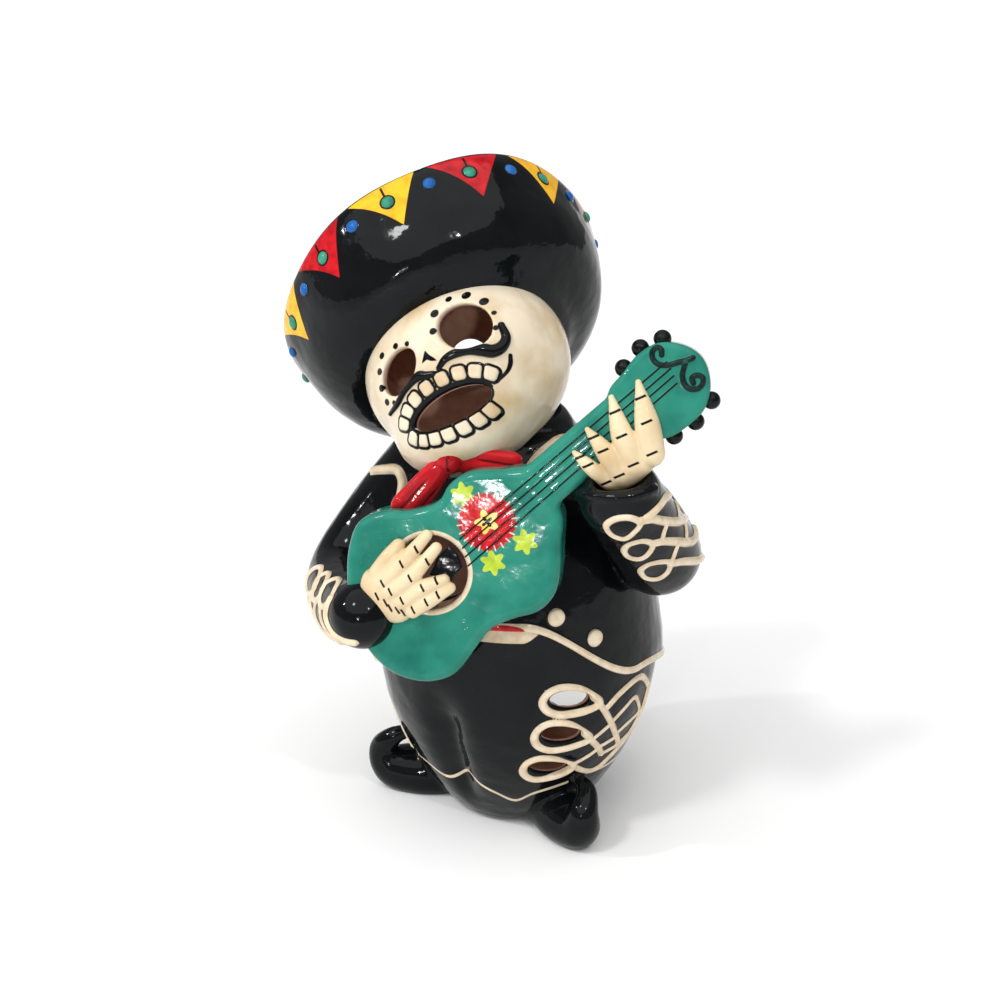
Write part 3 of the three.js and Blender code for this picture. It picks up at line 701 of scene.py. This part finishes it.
def jacket_form(points):
    made = melt(jacket_ground(points), trail(points, LAPEL_TRAIL), 0.8)
    for button in BUTTONS:
        made = melt(made, ellipsoid(button.local(points), BUTTON_SIZE), 0.6)
    return made


def jacket_paint(points):
    azimuth, radius, z, skin, lean = round_the_body(points)
    border = np.abs(z - jacket_edge(azimuth) - BORDER) - BORDER
    cream = np.minimum(border, trail(points, LAPEL_TRAIL) - BRAID_EDGE)
    for button in BUTTONS:
        cream = np.minimum(cream, bore(button.local(points), BUTTON_SIZE[0], -4, 4))
    sash = oval(turn_from(azimuth, SASH_AT[0]) * MM_PER_DEGREE, z - SASH_AT[1], *SASH_SIZE)
    return {"cream": cream, "red": sash, "clay": clay_layer(jacket_form(points), points)}


jacket = cast("jacket", hollowed(jacket_form), (-60, -60, 48), (60, 60, 170), 1.65, jacket_paint)
jacket.data.materials.append(glazed("black glaze, jacket", BLACK, [("cream", CREAM), ("red", RED)]))
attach(jacket, "root")
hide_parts("figurine")

# The sleeves.
# Both arms are thick rolls of clay bent at the elbow and luted to the jacket. Cream slip is trailed over the
# forearms in loops that run out into a net, and a line of it marks the right shoulder.
RIGHT_ARM = through([(-33, -15, 138, 15.5), (-45, -26, 119, 14.5), (-50, -45, 100, 13.5), (-25, -71.5, 101.5, 13),
                     (-11, -81.5, 106.5, 12.5)], 14)
LEFT_ARM = through([(22, 8, 140, 15), (44, 14, 127, 15), (58, 8, 117, 16), (62, -8, 131, 15.5),
                    (63, -26, 151.5, 15)], 14)
SLEEVE_LOOPS = [
    [(65.5, -38.5, 147), (68.5, -38, 150), (72.5, -35.5, 150.5), (74.5, -32.5, 148), (73.5, -33.5, 144),
     (69.5, -34, 141), (66.5, -36.5, 143)],
    [(67, -29.5, 134.5), (70, -31, 138), (73.5, -29, 139), (75, -24, 136.5), (73.5, -23.5, 132.5), (70, -24, 130),
     (67, -27, 131)],
    [(67.5, -19, 123), (71, -20, 126.5), (73.5, -17.5, 127), (75, -12, 125), (73, -10.5, 120.5), (70, -12, 117.5),
     (67, -15, 118.5)],
    [(-45, -64, 109), (-50, -62, 106.5), (-53.5, -62, 101), (-48, -67, 99), (-39, -74, 106)],
    [(-37, -70, 112), (-41, -70, 107), (-38, -77, 103), (-31, -80.5, 108)],
    [(-27, -76, 115), (-32, -77, 110), (-27, -84, 106), (-20, -87, 112)]]
SLEEVE_STRONG = [
    [(74.5, -32.5, 149), (77, -28, 148), (77.5, -22.5, 145.5), (76, -9.5, 140), (72, 2, 136)],
    [(75, -24, 137), (76.5, -20, 136.5), (77, -10.5, 133), (76, -4, 130), (74.5, 4.5, 127.5), (70, 12, 128)],
    [(75, -11.5, 124.5), (76, -5, 123), (75, 4.5, 119.5), (70, 12, 117)],
    [(75.5, -31, 149.5), (77.5, -27.5, 151), (76.5, -20.5, 152.5), (74, -14, 151)],
    [(-20, -87, 112), (-20, -88.5, 106), (-15, -91.5, 102), (-7, -91, 101)]]
SLEEVE_FINE = [
    [(77.5, -19, 144), (77.5, -20.5, 140.5), (76.5, -20.5, 137.5)], [(75.5, -3, 137), (76, -4.5, 131)],
    [(77, -10.5, 133), (76.5, -11.5, 130), (75, -11.5, 126)], [(76, -9.5, 140.5), (74, -4, 146)],
    [(-48, -67, 99), (-37, -77, 97), (-25, -85, 95), (-15, -90, 96)],
    [(-39, -74, 106), (-42, -74, 99), (-37, -78, 95)],
    [(-31, -80.5, 108), (-34, -79.5, 100), (-28, -83, 94)], [(-27, -84, 106), (-24, -87, 100), (-17, -89, 94)]]
SHOULDER_LINE = [(-46.5, -29.5, 136.5), (-41, -30, 138.5), (-34.5, -30, 140), (-31, -33, 137), (-30, -36, 131),
                 (-30, -40, 124)]
WRIST_AT, WRIST_SIZE = np.array([80, -16, 2]), np.array([14.5, 8.5, 9])
CUFF_LINE = [(48, -36, 152), (52, -38, 155), (60.5, -39, 156), (70.5, -35.5, 157), (76, -26, 158)]


def arms_form(points):
    return np.minimum(rod(points, RIGHT_ARM, reach=12), rod(points, LEFT_ARM, reach=12))


SLEEVE_TRAILS = trails(arms_form, (SLEEVE_LOOPS, 1.0, True), (SLEEVE_STRONG, 1.4, False),
                       (SLEEVE_FINE, 0.9, False), ([SHOULDER_LINE], 1.7, False))
CUFF = trails(arms_form, ([CUFF_LINE], 1.8, False))


def sleeves_form(points):
    made = melt(arms_form(points), trail(points, SLEEVE_TRAILS), 0.8)
    return melt(made, trail(points, CUFF), 1.5)


def joined_sleeves(points):
    whole = fused(sleeves_form, jacket_ground, points, 3)
    return cut(whole, ellipsoid(GUITAR.local(points) - WRIST_AT, WRIST_SIZE), 1.0)


def sleeves_paint(points):
    return {"cream": trail(points, SLEEVE_TRAILS) - BRAID_EDGE}


sleeves = cast("sleeves", hollowed(joined_sleeves), (-68, -97, 80), (82, 34, 170), 1.3, sleeves_paint)
sleeves.data.materials.append(glazed("black glaze, sleeves", BLACK, [("cream", CREAM)], clay=False))
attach(sleeves, "root")
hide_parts("figurine")

# The skull.
# A round cranium with a long jaw, cast open to the body below. Ivory glaze with honey-coloured pooling. Teeth
# and moustache stand up a little; they, the dots, nose and cheek line are brushed round in black.
IVORY = ((226, 212, 188), (200, 174, 134))
UPPER_TEETH = ((20.5, 9.4), np.linspace(157, 26, 8))
LOWER_TEETH = ((19.0, 8.2), np.linspace(-158, -52, 7))
LIP_OUT, LIP_WIDTHS = 0.8, (0.95, 0.5)
TOOTH_HALF, TOOTH_CORNER, TOOTH_PROUD, TOOTH_LINE = np.array([2.75, 2.8]), 1.8, 0.9, 0.5
MOUSTACHE = [
    [(2.1, -3.4, 0.9), (5.4, -1.3, 1.3), (9.9, -0.6, 1.7), (14.4, -0.8, 2.1), (18.2, -2.3, 2.3), (21.4, -3.8, 2.3),
     (24.5, -3, 2.1), (26.5, -0.4, 1.8), (26.4, 4.5, 1.3)],
    [(-0.5, -4.5, 1), (-3.4, -4, 1.4), (-5.7, -3.1, 1.6), (-13, -4.8, 1.3), (-19, -7.8, 1), (-24.5, -9, 0.7)]]
DOTS = [(-11.7, 11.2, 1.2), (-6.8, 9.8, 1), (-18.8, 10.8, 1.3), (-21.8, 5.9, 1.3), (-23.4, 0.2, 1.3),
        (-23.4, -5.1, 1.2), (-20.3, -6.9, 1), (4, 10.1, 1.3), (5.8, 16.7, 1.6), (11.3, 20.7, 1.2),
        (17.3, 20.1, 1.6), (22.7, 15.5, 1.6), (25.1, 10, 0.9), (24.4, 4.2, 1)]
NOSE = Outline(np.array([(-0.7, 4.3), (-3.1, 0.6), (-1, 1.2), (0.4, 0.1), (2.2, -0.5), (1.6, 0.6), (0.2, 2.4)]),
               6.0, 0.1)
CHEEK = through([(25.6, -6.4, 0.6), (24.6, -9, 0.7), (22.9, -11.2, 0.6), (19.8, -13.1, 0.5), (17.2, -14.2, 0.4)], 4)


def face_depth(x, y):
    """How far forward the face lies at a place on it."""
    depths = []
    for at, size in ((CRANIUM_AT, CRANIUM_SIZE), (JAW_AT, JAW_SIZE)):
        u, v = (x - at[0]) / size[0], (y - at[1]) / size[1]
        depths.append(at[2] + size[2] * np.sqrt(np.maximum(1 - u * u - v * v, 0)))
    return np.maximum(*depths)


MOUSTACHE_PATHS = [through([(x, y, face_depth(x, y) + 0.4, thick) for x, y, thick in half], 6)
                   for half in MOUSTACHE]
CHEEK_HOLLOWS = [((31.5, -8, 17.5), 7.5, 1.5), ((37, 3, 11), 6.0, 1.0), ((-31, -12, 17), 6.0, 1.2)]


def brushed(x, y, path):
    """How far places on the face lie from a brush stroke."""
    away = np.full(len(x), FAR)
    for a, b in zip(path[:-1], path[1:]):
        share, gap = beside(np.stack([x, y], 1) - a[:2], b[:2] - a[:2])
        away = np.minimum(away, gap - a[2] - share * (b[2] - a[2]))
    return away


def tooth_distance(local):
    """How far places on the face lie from the nearest tooth's outline."""
    centre, _, tilt = MOUTH
    along, across = turned(local[:, 0], local[:, 1], centre, tilt)
    away = np.full(len(local), FAR)
    shared = np.full(len(local), FAR)
    for (wide, tall), turns in (UPPER_TEETH, LOWER_TEETH):
        for turn in np.radians(turns):
            lean = np.degrees(np.arctan2(np.cos(turn), -2 * np.sin(turn)))
            u, v = turned(along, across, (wide * np.cos(turn), tall * np.sin(turn)), lean)
            box = np.abs(np.stack([u, v], 1)) - TOOTH_HALF + TOOTH_CORNER
            tooth = np.linalg.norm(np.maximum(box, 0), axis=1) + np.minimum(box.max(1), 0) - TOOTH_CORNER
            shared = np.minimum(shared, np.maximum(away, tooth))
            away = np.minimum(away, tooth)
    return np.where(local[:, 2] > FACE_FROM / 2, np.maximum(away, (away - shared) * 0.5), FAR)


def head_form(points):
    local = HEAD.local(points)
    made = skull_form(local) - TOOTH_PROUD * step(-tooth_distance(local), -0.1, 1.0)
    for centre, wide, deep in CHEEK_HOLLOWS:
        made = made + deep * np.exp(-((local - centre) ** 2).sum(1) / wide**2)
    for path in MOUSTACHE_PATHS:
        made = melt(made, rod(local, path, False, LINE_REACH), 0.5)
    return made


def head_paint(points):
    local = HEAD.local(points)
    x, y, z = local.T
    centre, (wide, tall), tilt = MOUTH
    along, across = turned(x, y, centre, tilt)
    lip = np.abs(oval(along, across, wide + LIP_OUT, tall + LIP_OUT)) - np.where(across > 0, *LIP_WIDTHS)
    marks = np.minimum(lip, brushed(x, y, CHEEK))
    marks = np.minimum(marks, np.abs(tooth_distance(local) - 0.05) - TOOTH_LINE)
    marks = np.minimum(marks, NOSE.distance(x, y) - 0.15)
    for spot_x, spot_y, size in DOTS:
        marks = np.minimum(marks, np.hypot(x - spot_x, y - spot_y) - size)
    black = np.where(z > 0, marks, FAR)
    for path in MOUSTACHE_PATHS:
        black = np.minimum(black, rod(local, path, False, LINE_REACH) - 0.15)
    return {"black": black, "clay": clay_layer(head_form(points), points)}


skull = cast("skull", hollowed(head_form), (-39, -42, -40), (41, 38, 40), 1.2, head_paint, HEAD)
skull.data.materials.append(glazed("ivory glaze, skull", IVORY, [("black", BLACK)]))
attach(skull, "root")
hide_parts("figurine")

# The hat.
# A deep sombrero whose brim turns up into a bowl. Black glaze outside and in, with a ring of painted bunting
# under the rim, and beads of coloured slip that hang from it on short strings.
HAT_PROFILE = Outline(through([
    (0, -4), (20, -4), (34, -4), (40, -1), (47.8, 2.5), (53.8, 7.5), (58.2, 16), (60.6, 26), (62.1, 36),
    (61.4, 39.5), (59.8, 40), (57.8, 39), (57, 36), (55.3, 26), (51.3, 16), (43.3, 9), (39, 9), (35, 24), (29, 37),
    (19, 47), (0, 48), (-20, 40), (-20, 0)], 5, True), pitch=0.3)
FLAG_START, FLAG_STEP = -2.5, 30.0
FLAG_HALF, FLAG_TOP, FLAG_TIP = 14.9, 40.0, 19.5
TIP_ASIDE, FLAG_BOW, PAINTED_FROM, PAINTED_TO, STRING_TOP, STRING_HALF = 1.9, 1.4, 54.0, 38.6, 38.0, 0.45
BEAD_RADIUS, BEAD_LEVEL, BEAD_RING = 2.2, 30.8, 61.3
YELLOW = ((242, 184, 38), (222, 152, 22))
BLUE = ((36, 104, 176), (24, 70, 140))
GREEN = ((62, 150, 122), (40, 112, 92))


def hat_lumps(turn, h):
    """The brim was patted into shape by hand, so it waves a little."""
    wave = np.sin(np.radians(turn * 6 + 20)) * step(h, 14, 34)
    return 0.5 * wave + 0.35 * np.sin(np.radians(turn * 3 + 70)) * step(h, 4, 20)


def on_brim(points):
    """Angle round the hat, radius and height of points, the nearest bead's number, and places round that bead."""
    local = HAT.local(points)
    turn = np.degrees(np.arctan2(local[:, 1], local[:, 0]))
    radius, h = np.hypot(local[:, 0], local[:, 1]), local[:, 2]
    count = np.round((turn - FLAG_START) * 2 / FLAG_STEP)
    odd = np.mod(count, 2) > 0.5
    across = np.radians(turn - FLAG_START - count * FLAG_STEP / 2 - np.where(odd, 1.0, 0.5)) * BEAD_RING
    return turn, radius, h, odd, across


def hat_ground(points):
    turn, radius, h, _, _ = on_brim(points)
    return HAT_PROFILE.distance(radius, h) - hat_lumps(turn, h) * step(radius, 40, 56)


def hat_form(points):
    turn, radius, h, _, across = on_brim(points)
    out = (radius - BEAD_RING - hat_lumps(turn, h)) * 1.4
    bead = np.sqrt(across**2 + (h - BEAD_LEVEL) ** 2 + out**2) - BEAD_RADIUS
    return melt(hat_ground(points), bead * 0.8, 0.4)


def hat_paint(points):
    turn, radius, h, odd, across = on_brim(points)
    count = np.round((turn - FLAG_START) / FLAG_STEP)
    aside = np.radians(turn - FLAG_START - count * FLAG_STEP) * BEAD_RING
    outer = PAINTED_FROM - radius
    drop, deep = FLAG_TOP - h, FLAG_TOP - FLAG_TIP
    wide, narrow = FLAG_HALF + TIP_ASIDE, FLAG_HALF - TIP_ASIDE
    bow = FLAG_BOW * np.sin(np.pi * np.clip(drop / deep, 0, 1))
    left = (drop * wide - (aside + FLAG_HALF) * deep) / np.hypot(deep, wide) + bow
    right = ((aside - TIP_ASIDE) * deep - (deep - drop) * narrow) / np.hypot(deep, narrow)
    flag = np.maximum(np.maximum(left, right), np.maximum(h - PAINTED_TO, outer))
    second = np.mod(count, 2) > 0.5
    round_bead = np.hypot(across, h - BEAD_LEVEL) - BEAD_RADIUS
    bead = np.maximum(round_bead - 0.1, outer)
    string = np.maximum(np.maximum(np.abs(across) - STRING_HALF, BEAD_LEVEL - h), h - STRING_TOP)
    edge = np.maximum(np.minimum(round_bead - 0.8, string), outer)
    return {
        "red": np.where(second, FAR, flag), "yellow": np.where(second, flag, FAR), "string": edge,
        "blue": np.where(odd, bead, FAR), "green": np.where(odd, FAR, bead),
        "clay": clay_layer(hat_ground(points), points)}


hat = cast("hat", hollowed(hat_form), (-65, -65, -6), (65, 65, 51), 1.8, hat_paint, HAT)
hat.data.materials.append(glazed("black glaze, hat", BLACK, [
    ("red", RED), ("yellow", YELLOW), ("string", BLACK), ("blue", BLUE), ("green", GREEN)]))
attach(hat, "root")
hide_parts("figurine")

# The neckerchief.
# A red bow under the chin, pressed by hand: a knot and two folded wings, with painted shade in their fold grooves.
KNOT = np.array([4, -49, 160.0])
WINGS = [(np.array([-6.5, -60, 143.0]), 5.8), (np.array([20.5, -36, 156.5]), 6.0)]
WING_FLAT = 0.55
KNOT_SIZE = np.array([5.2, 5.0, 5.6])
PINCH_ASIDE, PINCH_SIZE = 2.4, (0.5, 3.2)
FOLD_TURN, FOLD_START, FOLD_DEPTH = 1.15, 0.6, 0.35
# A darker copy of the red, painted as shade in the fold grooves and beside the knot.
FOLD_SHADE_RED = ((110, 14, 20), (60, 8, 12))
WING_SEATS = []
for end, wide in WINGS:
    along = end - KNOT
    length = np.linalg.norm(along)
    path = through([(0, 0, 0, 4.0), (length * 0.5, 0, 0, 5.0), (length, 0, 0, wide)], 8)
    WING_SEATS.append((Seat(KNOT, np.cross(along, (0, 0, 1)), along), length, path))


def wing_place(seat, points):
    local = seat.local(points)
    local[:, 2] /= WING_FLAT
    return local


def folds(local, length):
    """Waves across a wing, nought at the knot and full at its end."""
    return np.cos(local[:, 1] * FOLD_TURN + FOLD_START) * step(local[:, 0], 1, length * 0.6)


def scarf_form(points):
    made = ellipsoid(points - KNOT, KNOT_SIZE)
    for seat, length, path in WING_SEATS:
        local = wing_place(seat, points)
        made = melt(made, rod(local, path) * 0.7 - FOLD_DEPTH * folds(local, length), 0.8)
    return made


def scarf_paint(points):
    deep = np.full(len(points), FAR)
    for seat, length, path in WING_SEATS:
        local = wing_place(seat, points)
        # Painted shade: dark red along the troughs of the fold waves, which are the grooves of the folds.
        crease = (0.86 + folds(local, length)) * 1.5
        deep = np.minimum(deep, np.where((local[:, 0] > 3) & (local[:, 0] < length + 2), crease, FAR))
    # Painted shade where the wing pinches into the knot.
    across, _, rise = np.abs((points - KNOT - (PINCH_ASIDE, 0, 0)).T)
    pinch_shade = np.maximum(across - PINCH_SIZE[0], rise - PINCH_SIZE[1])
    return {"fold": np.minimum(deep, pinch_shade)}


scarf = cast("neckerchief", scarf_form, (-20, -72, 134), (36, -22, 170), 0.75, scarf_paint)
scarf.data.materials.append(glazed("red glaze, neckerchief", RED, [("fold", FOLD_SHADE_RED)], clay=False))
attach(scarf, "root")
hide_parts("figurine")

# The guitar.
# A small teal guitar with a deep body, cast hollow and open at its sound hole. Rose, leaves and strings are
# brushed on; the two scrolls on its head are trailed in black slip.
TEAL = ((44, 130, 112), (26, 100, 88))
LIME = ((184, 202, 62), (150, 176, 50))
ROSE_AT, ROSE_RADIUS, PETAL_STROKES = (27.9, 0.7), 10.2, 22
LEAVES = [(27.7, 13.5), (33.6, -13.5), (19.8, -11.8)]
STRINGS = [((16.4, 2.3), (113.5, 2.5)), ((15, -0.8), (112.8, -0.2)), ((13.6, -3.8), (112, -2.8)),
           ((12.2, -6.9), (111.2, -5.5))]
STRING_WIDTH = 0.32
SADDLE = [(14.7, 1.6), (14, -1.8), (12.9, -4.8)]
SCROLLS = [
    [(112.5, 7.2), (113.8, 8.8), (113.2, 11), (110.3, 10.8), (108.4, 8), (109, 4.6), (112, 1.8), (115.5, 0.2),
     (119, -1.6), (122, -2.6)],
    [(118.6, -1.8), (116.2, -3.4), (113.4, -5.6), (111.8, -8.8), (112.2, -12), (115, -14.2), (118.2, -13.8),
     (119.6, -11.8), (118.6, -9.6), (116, -9), (115, -11)]]
HEAD_OUTLINE = Outline(through([
    (90, 7), (99, 9.5), (108, 11), (116, 9), (122, 2), (123.5, -5), (120, -13), (113, -18.5), (105, -19.5),
    (96, -18), (90, -12)], 5, True))
SCROLLS_MEET, SCROLL_SIZE = np.array([117.8, -1.4]), 0.8
SCROLL_PATHS = [through([(*(SCROLLS_MEET + SCROLL_SIZE * (spot - SCROLLS_MEET)), 1.1, 0.9) for spot in line], 5)
                for line in map(np.array, SCROLLS)]
NECK_FROM, NECK_TO, NECK_MIDDLE, NECK_HALF = 44.0, 96.0, -2.2, 8.7
NECK_BACK, NECK_FRONT, PLATE_BACK, PLATE_FRONT = -10.0, 0.3, -9.0, 1.0
FRONT_FROM, RING_WIDTH = -4.0, 2.0
LEAF, ROSE, HEART, CLOVER = (3.8, 6, 0.9), (ROSE_RADIUS, 26, 0.35), (3.6, 5, 1.0), (1.5, 4, 0.8)
CREASED_YELLOW = ((240, 214, 130), YELLOW[0])
ROSE_WHITE = ((226, 214, 200), (206, 190, 170))


def string_distance(x, y):
    return np.min([brushed(x, y, np.array([(*spot, STRING_WIDTH) for spot in ends])) for ends in STRINGS], axis=0)


def board_form(local):
    x, y, z = local.T
    body = slab(GUITAR_OUTLINE.distance(x, y), z, -GUITAR_DEPTH, 0, 3)
    neck = np.maximum(np.abs(y - NECK_MIDDLE) - NECK_HALF, np.maximum(NECK_FROM - x, x - NECK_TO))
    plate = slab(HEAD_OUTLINE.distance(x, y), z, PLATE_BACK, PLATE_FRONT, 2)
    return melt(melt(body, slab(neck, z, NECK_BACK, NECK_FRONT, 3), 3), plate, 2)


def guitar_form(points):
    local = GUITAR.local(points)
    x, y, z = local.T
    made = board_form(local) - 0.25 * step(-string_distance(x, y), -0.5, 0.3) * (z > FRONT_FROM)
    for path in SCROLL_PATHS:
        made = melt(made, rod(local, path, False, LINE_REACH), 0.4)
    return made


def star(x, y, centre, radius, arms, depth):
    """A round painted shape with a wavy edge."""
    x, y = x - centre[0], y - centre[1]
    return np.hypot(x, y) - radius - depth * np.cos(arms * np.arctan2(y, x))


def guitar_paint(points):
    local = GUITAR.local(points)
    x, y, z = local.T
    ring = np.hypot(x, y) - SOUND_HOLE_RADIUS - RING_WIDTH
    leaf = np.min([star(x, y, at, *LEAF) for at in LEAVES], axis=0)
    rose = star(x, y, ROSE_AT, *ROSE)
    turn = np.arctan2(y - ROSE_AT[1], x - ROSE_AT[0])
    out = np.hypot(x - ROSE_AT[0], y - ROSE_AT[1])
    apart = 2 * np.pi / PETAL_STROKES
    stroke = np.abs((turn / apart + 0.5) % 1 - 0.5) * apart * out - 0.22
    stroke = np.maximum(stroke, np.abs(out - ROSE_RADIUS + 0.3) - 1.1)
    middle = star(x, y, ROSE_AT, *HEART)
    clover = star(x, y, ROSE_AT, *CLOVER)
    saddle = np.min([np.maximum(np.abs(x - at[0]), np.abs(y - at[1])) - 0.8 for at in SADDLE], axis=0)
    black = np.minimum(string_distance(x, y), clover)
    for path in SCROLL_PATHS:
        black = np.minimum(black, rod(local, path, False, LINE_REACH) - 0.1)
    layers = {"cream": ring, "leaf": leaf, "red": rose, "pale": np.minimum(stroke, saddle), "yellow": middle,
              "black": black}
    made = {name: np.where(z > FRONT_FROM, layer, FAR) for name, layer in layers.items()}
    return {**made, "clay": clay_layer(guitar_form(points), points)}


guitar = cast("guitar", hollowed(guitar_form), (-40, -39, -21), (127, 34, 4), 1.05, guitar_paint, GUITAR)
guitar.data.materials.append(glazed("teal glaze, guitar", TEAL, [
    ("cream", CREAM), ("leaf", LIME), ("red", RED), ("yellow", CREASED_YELLOW), ("pale", ROSE_WHITE),
    ("black", BLACK)], wave=0.5))
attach(guitar, "root")
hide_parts("figurine")

# The pegs.
# Six black pegs, three along each edge of the guitar's head: beads of clay luted on.
PEGS = [(100, 10.5), (109, 12), (117, 9.5), (116, -18), (107, -20), (98, -19)]
PEG_RADIUS, PEG_LEVEL = 3.2, -4.0


def pegs_form(points):
    local = GUITAR.local(points)
    away = [np.linalg.norm(local - np.array([x, y, PEG_LEVEL]), axis=1) for x, y in PEGS]
    return np.min(away, axis=0) - PEG_RADIUS


pegs = cast("pegs", pegs_form, (94, -25, -9), (122, 17, 1), 0.7, None, GUITAR)
pegs.data.materials.append(glazed("black glaze, pegs", BLACK, clay=False))
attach(pegs, "root")
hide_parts("figurine")

# The hands.
# Bony hands of ivory glaze: four fingers each over a plain palm, and the strumming thumb. Short black strokes
# mark the joints. The right hand holds a black pick.
STRUM = [[(-15, 8.5, 3.5), (-4, 9.2, 5.5), (8.5, 11, 2)], [(-15, 4, 4), (-4.5, 3.4, 6), (8.5, 5.4, 3.5)],
         [(-14, -1, 4), (-4, -2.2, 5.5), (3, -5, 3.5)], [(-13, -6, 3), (-6, -7, 4.8), (2.6, -8.6, 2.8)]]
THUMB = [(-14, 12.5, 2.5), (-7, 14, 3.2), (-1.5, 14.8, 3)]
FRET = [([(70, -16, -1), (69, -7, 2.5), (68, -0.7, 1)], (3, 2.5, 0.9)),
        ([(75, -17, 0), (76.7, -7, 2.5), (76.8, 2.5, 1)], (3.8, 3.4, 1)),
        ([(81.5, -17.5, 0), (85, -7, 2.5), (90.6, 5.6, 1)], (4.6, 4.1, 1.1)),
        ([(88.5, -18.5, 0), (94.5, -9, 2.2), (101.2, 3.5, 1)], (4.8, 4.4, 1.1))]
STRUM_PALM = (np.array([-17, 4, 0]), np.array([8.5, 11.5, 6.0]))
FRET_PALM = (np.array([80.5, -16.5, -3]), np.array([13.5, 7, 7.0]))
PICK_BACK, PICK_FRONT = 0.4, 2.4
BONE = ((224, 204, 168), (198, 168, 120))
STRUM_STROKES = [(-14.2, 8.2), (-13.9, 4.2), (-12.8, -0.9), (-12.1, -6), (-3.9, 9.1), (-4.8, 3.3), (-3.8, -2.1),
                 (-6.3, -6.9), (3.2, 9.6), (3.5, 3.7), (1.3, -3.4), (-1.6, -7.6), (-19, 6), (-18.1, 2.3),
                 (-18.2, -0.2), (-16.8, -2.5), (-16, -4.5)]
FRET_STROKES = [(68.8, -3.1), (69.2, -7.1), (69.7, -16), (77, -0.9), (76.7, -6.6), (75.1, -17), (88.5, 1),
                (85.1, -6.9), (81.5, -17.2), (98.5, -1), (94.9, -8.8), (89, -18.4)]
STRUM_STROKE, FRET_STROKE = (0.42, 1.5, 0.25), (2.0, 0.48, 0.3)
PICK = Outline(np.array([(-0.2, -0.5), (6.4, 2.5), (12.5, 3), (12.8, -1), (10.9, -6), (6.5, -6.4), (2, -8.5),
                         (-0.2, -6.1), (2.9, -3.6)]), 6.0, 0.2)


def finger(spots, radii):
    return through([(*spot, radius) for spot, radius in zip(spots, radii)], 6)


STRUM_FINGERS = [finger(spots, (3, 2.9, 2.1)) for spots in STRUM] + [finger(THUMB, (3, 2.9, 2.5))]
FRET_FINGERS = [finger(spots, radii) for spots, radii in FRET]


def pick_form(local):
    return slab(PICK.distance(local[:, 0], local[:, 1]), local[:, 2], PICK_BACK, PICK_FRONT, 0.6)


def hands_form(points):
    local = GUITAR.local(points)
    strum = ellipsoid(local - STRUM_PALM[0], STRUM_PALM[1])
    for path in STRUM_FINGERS:
        strum = melt(strum, rod(local, path), 1.0)
    fret = ellipsoid(local - FRET_PALM[0], FRET_PALM[1])
    for path in FRET_FINGERS:
        fret = melt(fret, rod(local, path), 1.0)
    return np.minimum(np.minimum(strum, fret), pick_form(local))


def hands_paint(points):
    local = GUITAR.local(points)
    x, y, z = local.T
    wide, tall, lean = STRUM_STROKE
    strokes = [np.maximum(np.abs(x - a - lean * (y - b)) - wide, np.abs(y - b) - tall) for a, b in STRUM_STROKES]
    wide, tall, lean = FRET_STROKE
    strokes += [np.maximum(np.abs(x - a) - wide, np.abs(y - b + lean * (x - a)) - tall) for a, b in FRET_STROKES]
    black = np.where(z > 0, np.min(strokes, axis=0), FAR)
    return {"black": np.minimum(black, pick_form(local) - 0.2)}


hands = cast("hands", hands_form, (-30, -27, -12), (110, 20, 12), 0.75, hands_paint, GUITAR)
hands.data.materials.append(glazed("ivory glaze, hands", BONE, [("black", BLACK)], clay=False))
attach(hands, "root")
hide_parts("figurine")

# The studio.
# A pale floor and soft lights, with the camera at the photograph's angle: above and to the figure's left.
CAMERA_AT = (454.007, -637.281, 458.310)
CAMERA_AIM = (-5.894, -4.282, 126.188)
LENS, FILM = 80.0, 36.0
HALF_FLOOR = 8.0
PAPER, ROOM_LIGHT = (0.92, 0.92, 0.92, 1), 0.32
LAMPS_AIM = Vector((0, 0, 0.12))
LAMPS = [
    ("SUN", "overhead", (0.1, -0.5, 1.6), 2.1, "angle", 1.6),
    ("SUN", "key", (-0.2, -0.9, 1.3), 0.7, "angle", 0.14),
    ("AREA", "left spark", (-0.9, -0.9, 0.9), 4.0, "size", 0.06),
    ("AREA", "right spark", (1.1, -0.7, 1.3), 4.0, "size", 0.06),
    ("AREA", "low spark", (0.5, -1.3, 0.35), 2.2, "size", 0.05)]

floor_mesh = bpy.data.meshes.new("floor")
corners = [(x * HALF_FLOOR, y * HALF_FLOOR, 0) for x, y in ((-1, -1), (1, -1), (1, 1), (-1, 1))]
floor_mesh.from_pydata(corners, [], [(0, 1, 2, 3)])
floor = bpy.data.objects.new("floor", floor_mesh)
bpy.context.scene.collection.objects.link(floor)
paper = Shader("white paper")
paper.surface.inputs["Base Color"].default_value = PAPER
paper.surface.inputs["Roughness"].default_value = 0.9
paper.surface.inputs["Specular IOR Level"].default_value = 0.1
floor.data.materials.append(paper.material)

world = bpy.data.worlds.new("studio")
world.use_nodes = True
world.node_tree.nodes["Background"].inputs["Color"].default_value = (1, 1, 1, 1)
world.node_tree.nodes["Background"].inputs["Strength"].default_value = ROOM_LIGHT
bpy.context.scene.world = world
bpy.context.scene.view_settings.view_transform = "Standard"

for kind, name, at, energy, spread, amount in LAMPS:
    light = bpy.data.lights.new(name, kind)
    light.energy = energy
    setattr(light, spread, amount)
    holder = bpy.data.objects.new(name, light)
    holder.location = at
    holder.rotation_euler = (LAMPS_AIM - Vector(at)).to_track_quat("-Z", "Y").to_euler()
    bpy.context.scene.collection.objects.link(holder)

camera = bpy.data.objects.new("camera", bpy.data.cameras.new("camera"))
camera.location = Vector(CAMERA_AT) / 1000
camera.rotation_euler = (Vector(CAMERA_AIM) - Vector(CAMERA_AT)).to_track_quat("-Z", "Y").to_euler()
camera.data.lens = LENS
camera.data.sensor_width = FILM
bpy.context.scene.collection.objects.link(camera)
bpy.context.scene.camera = camera
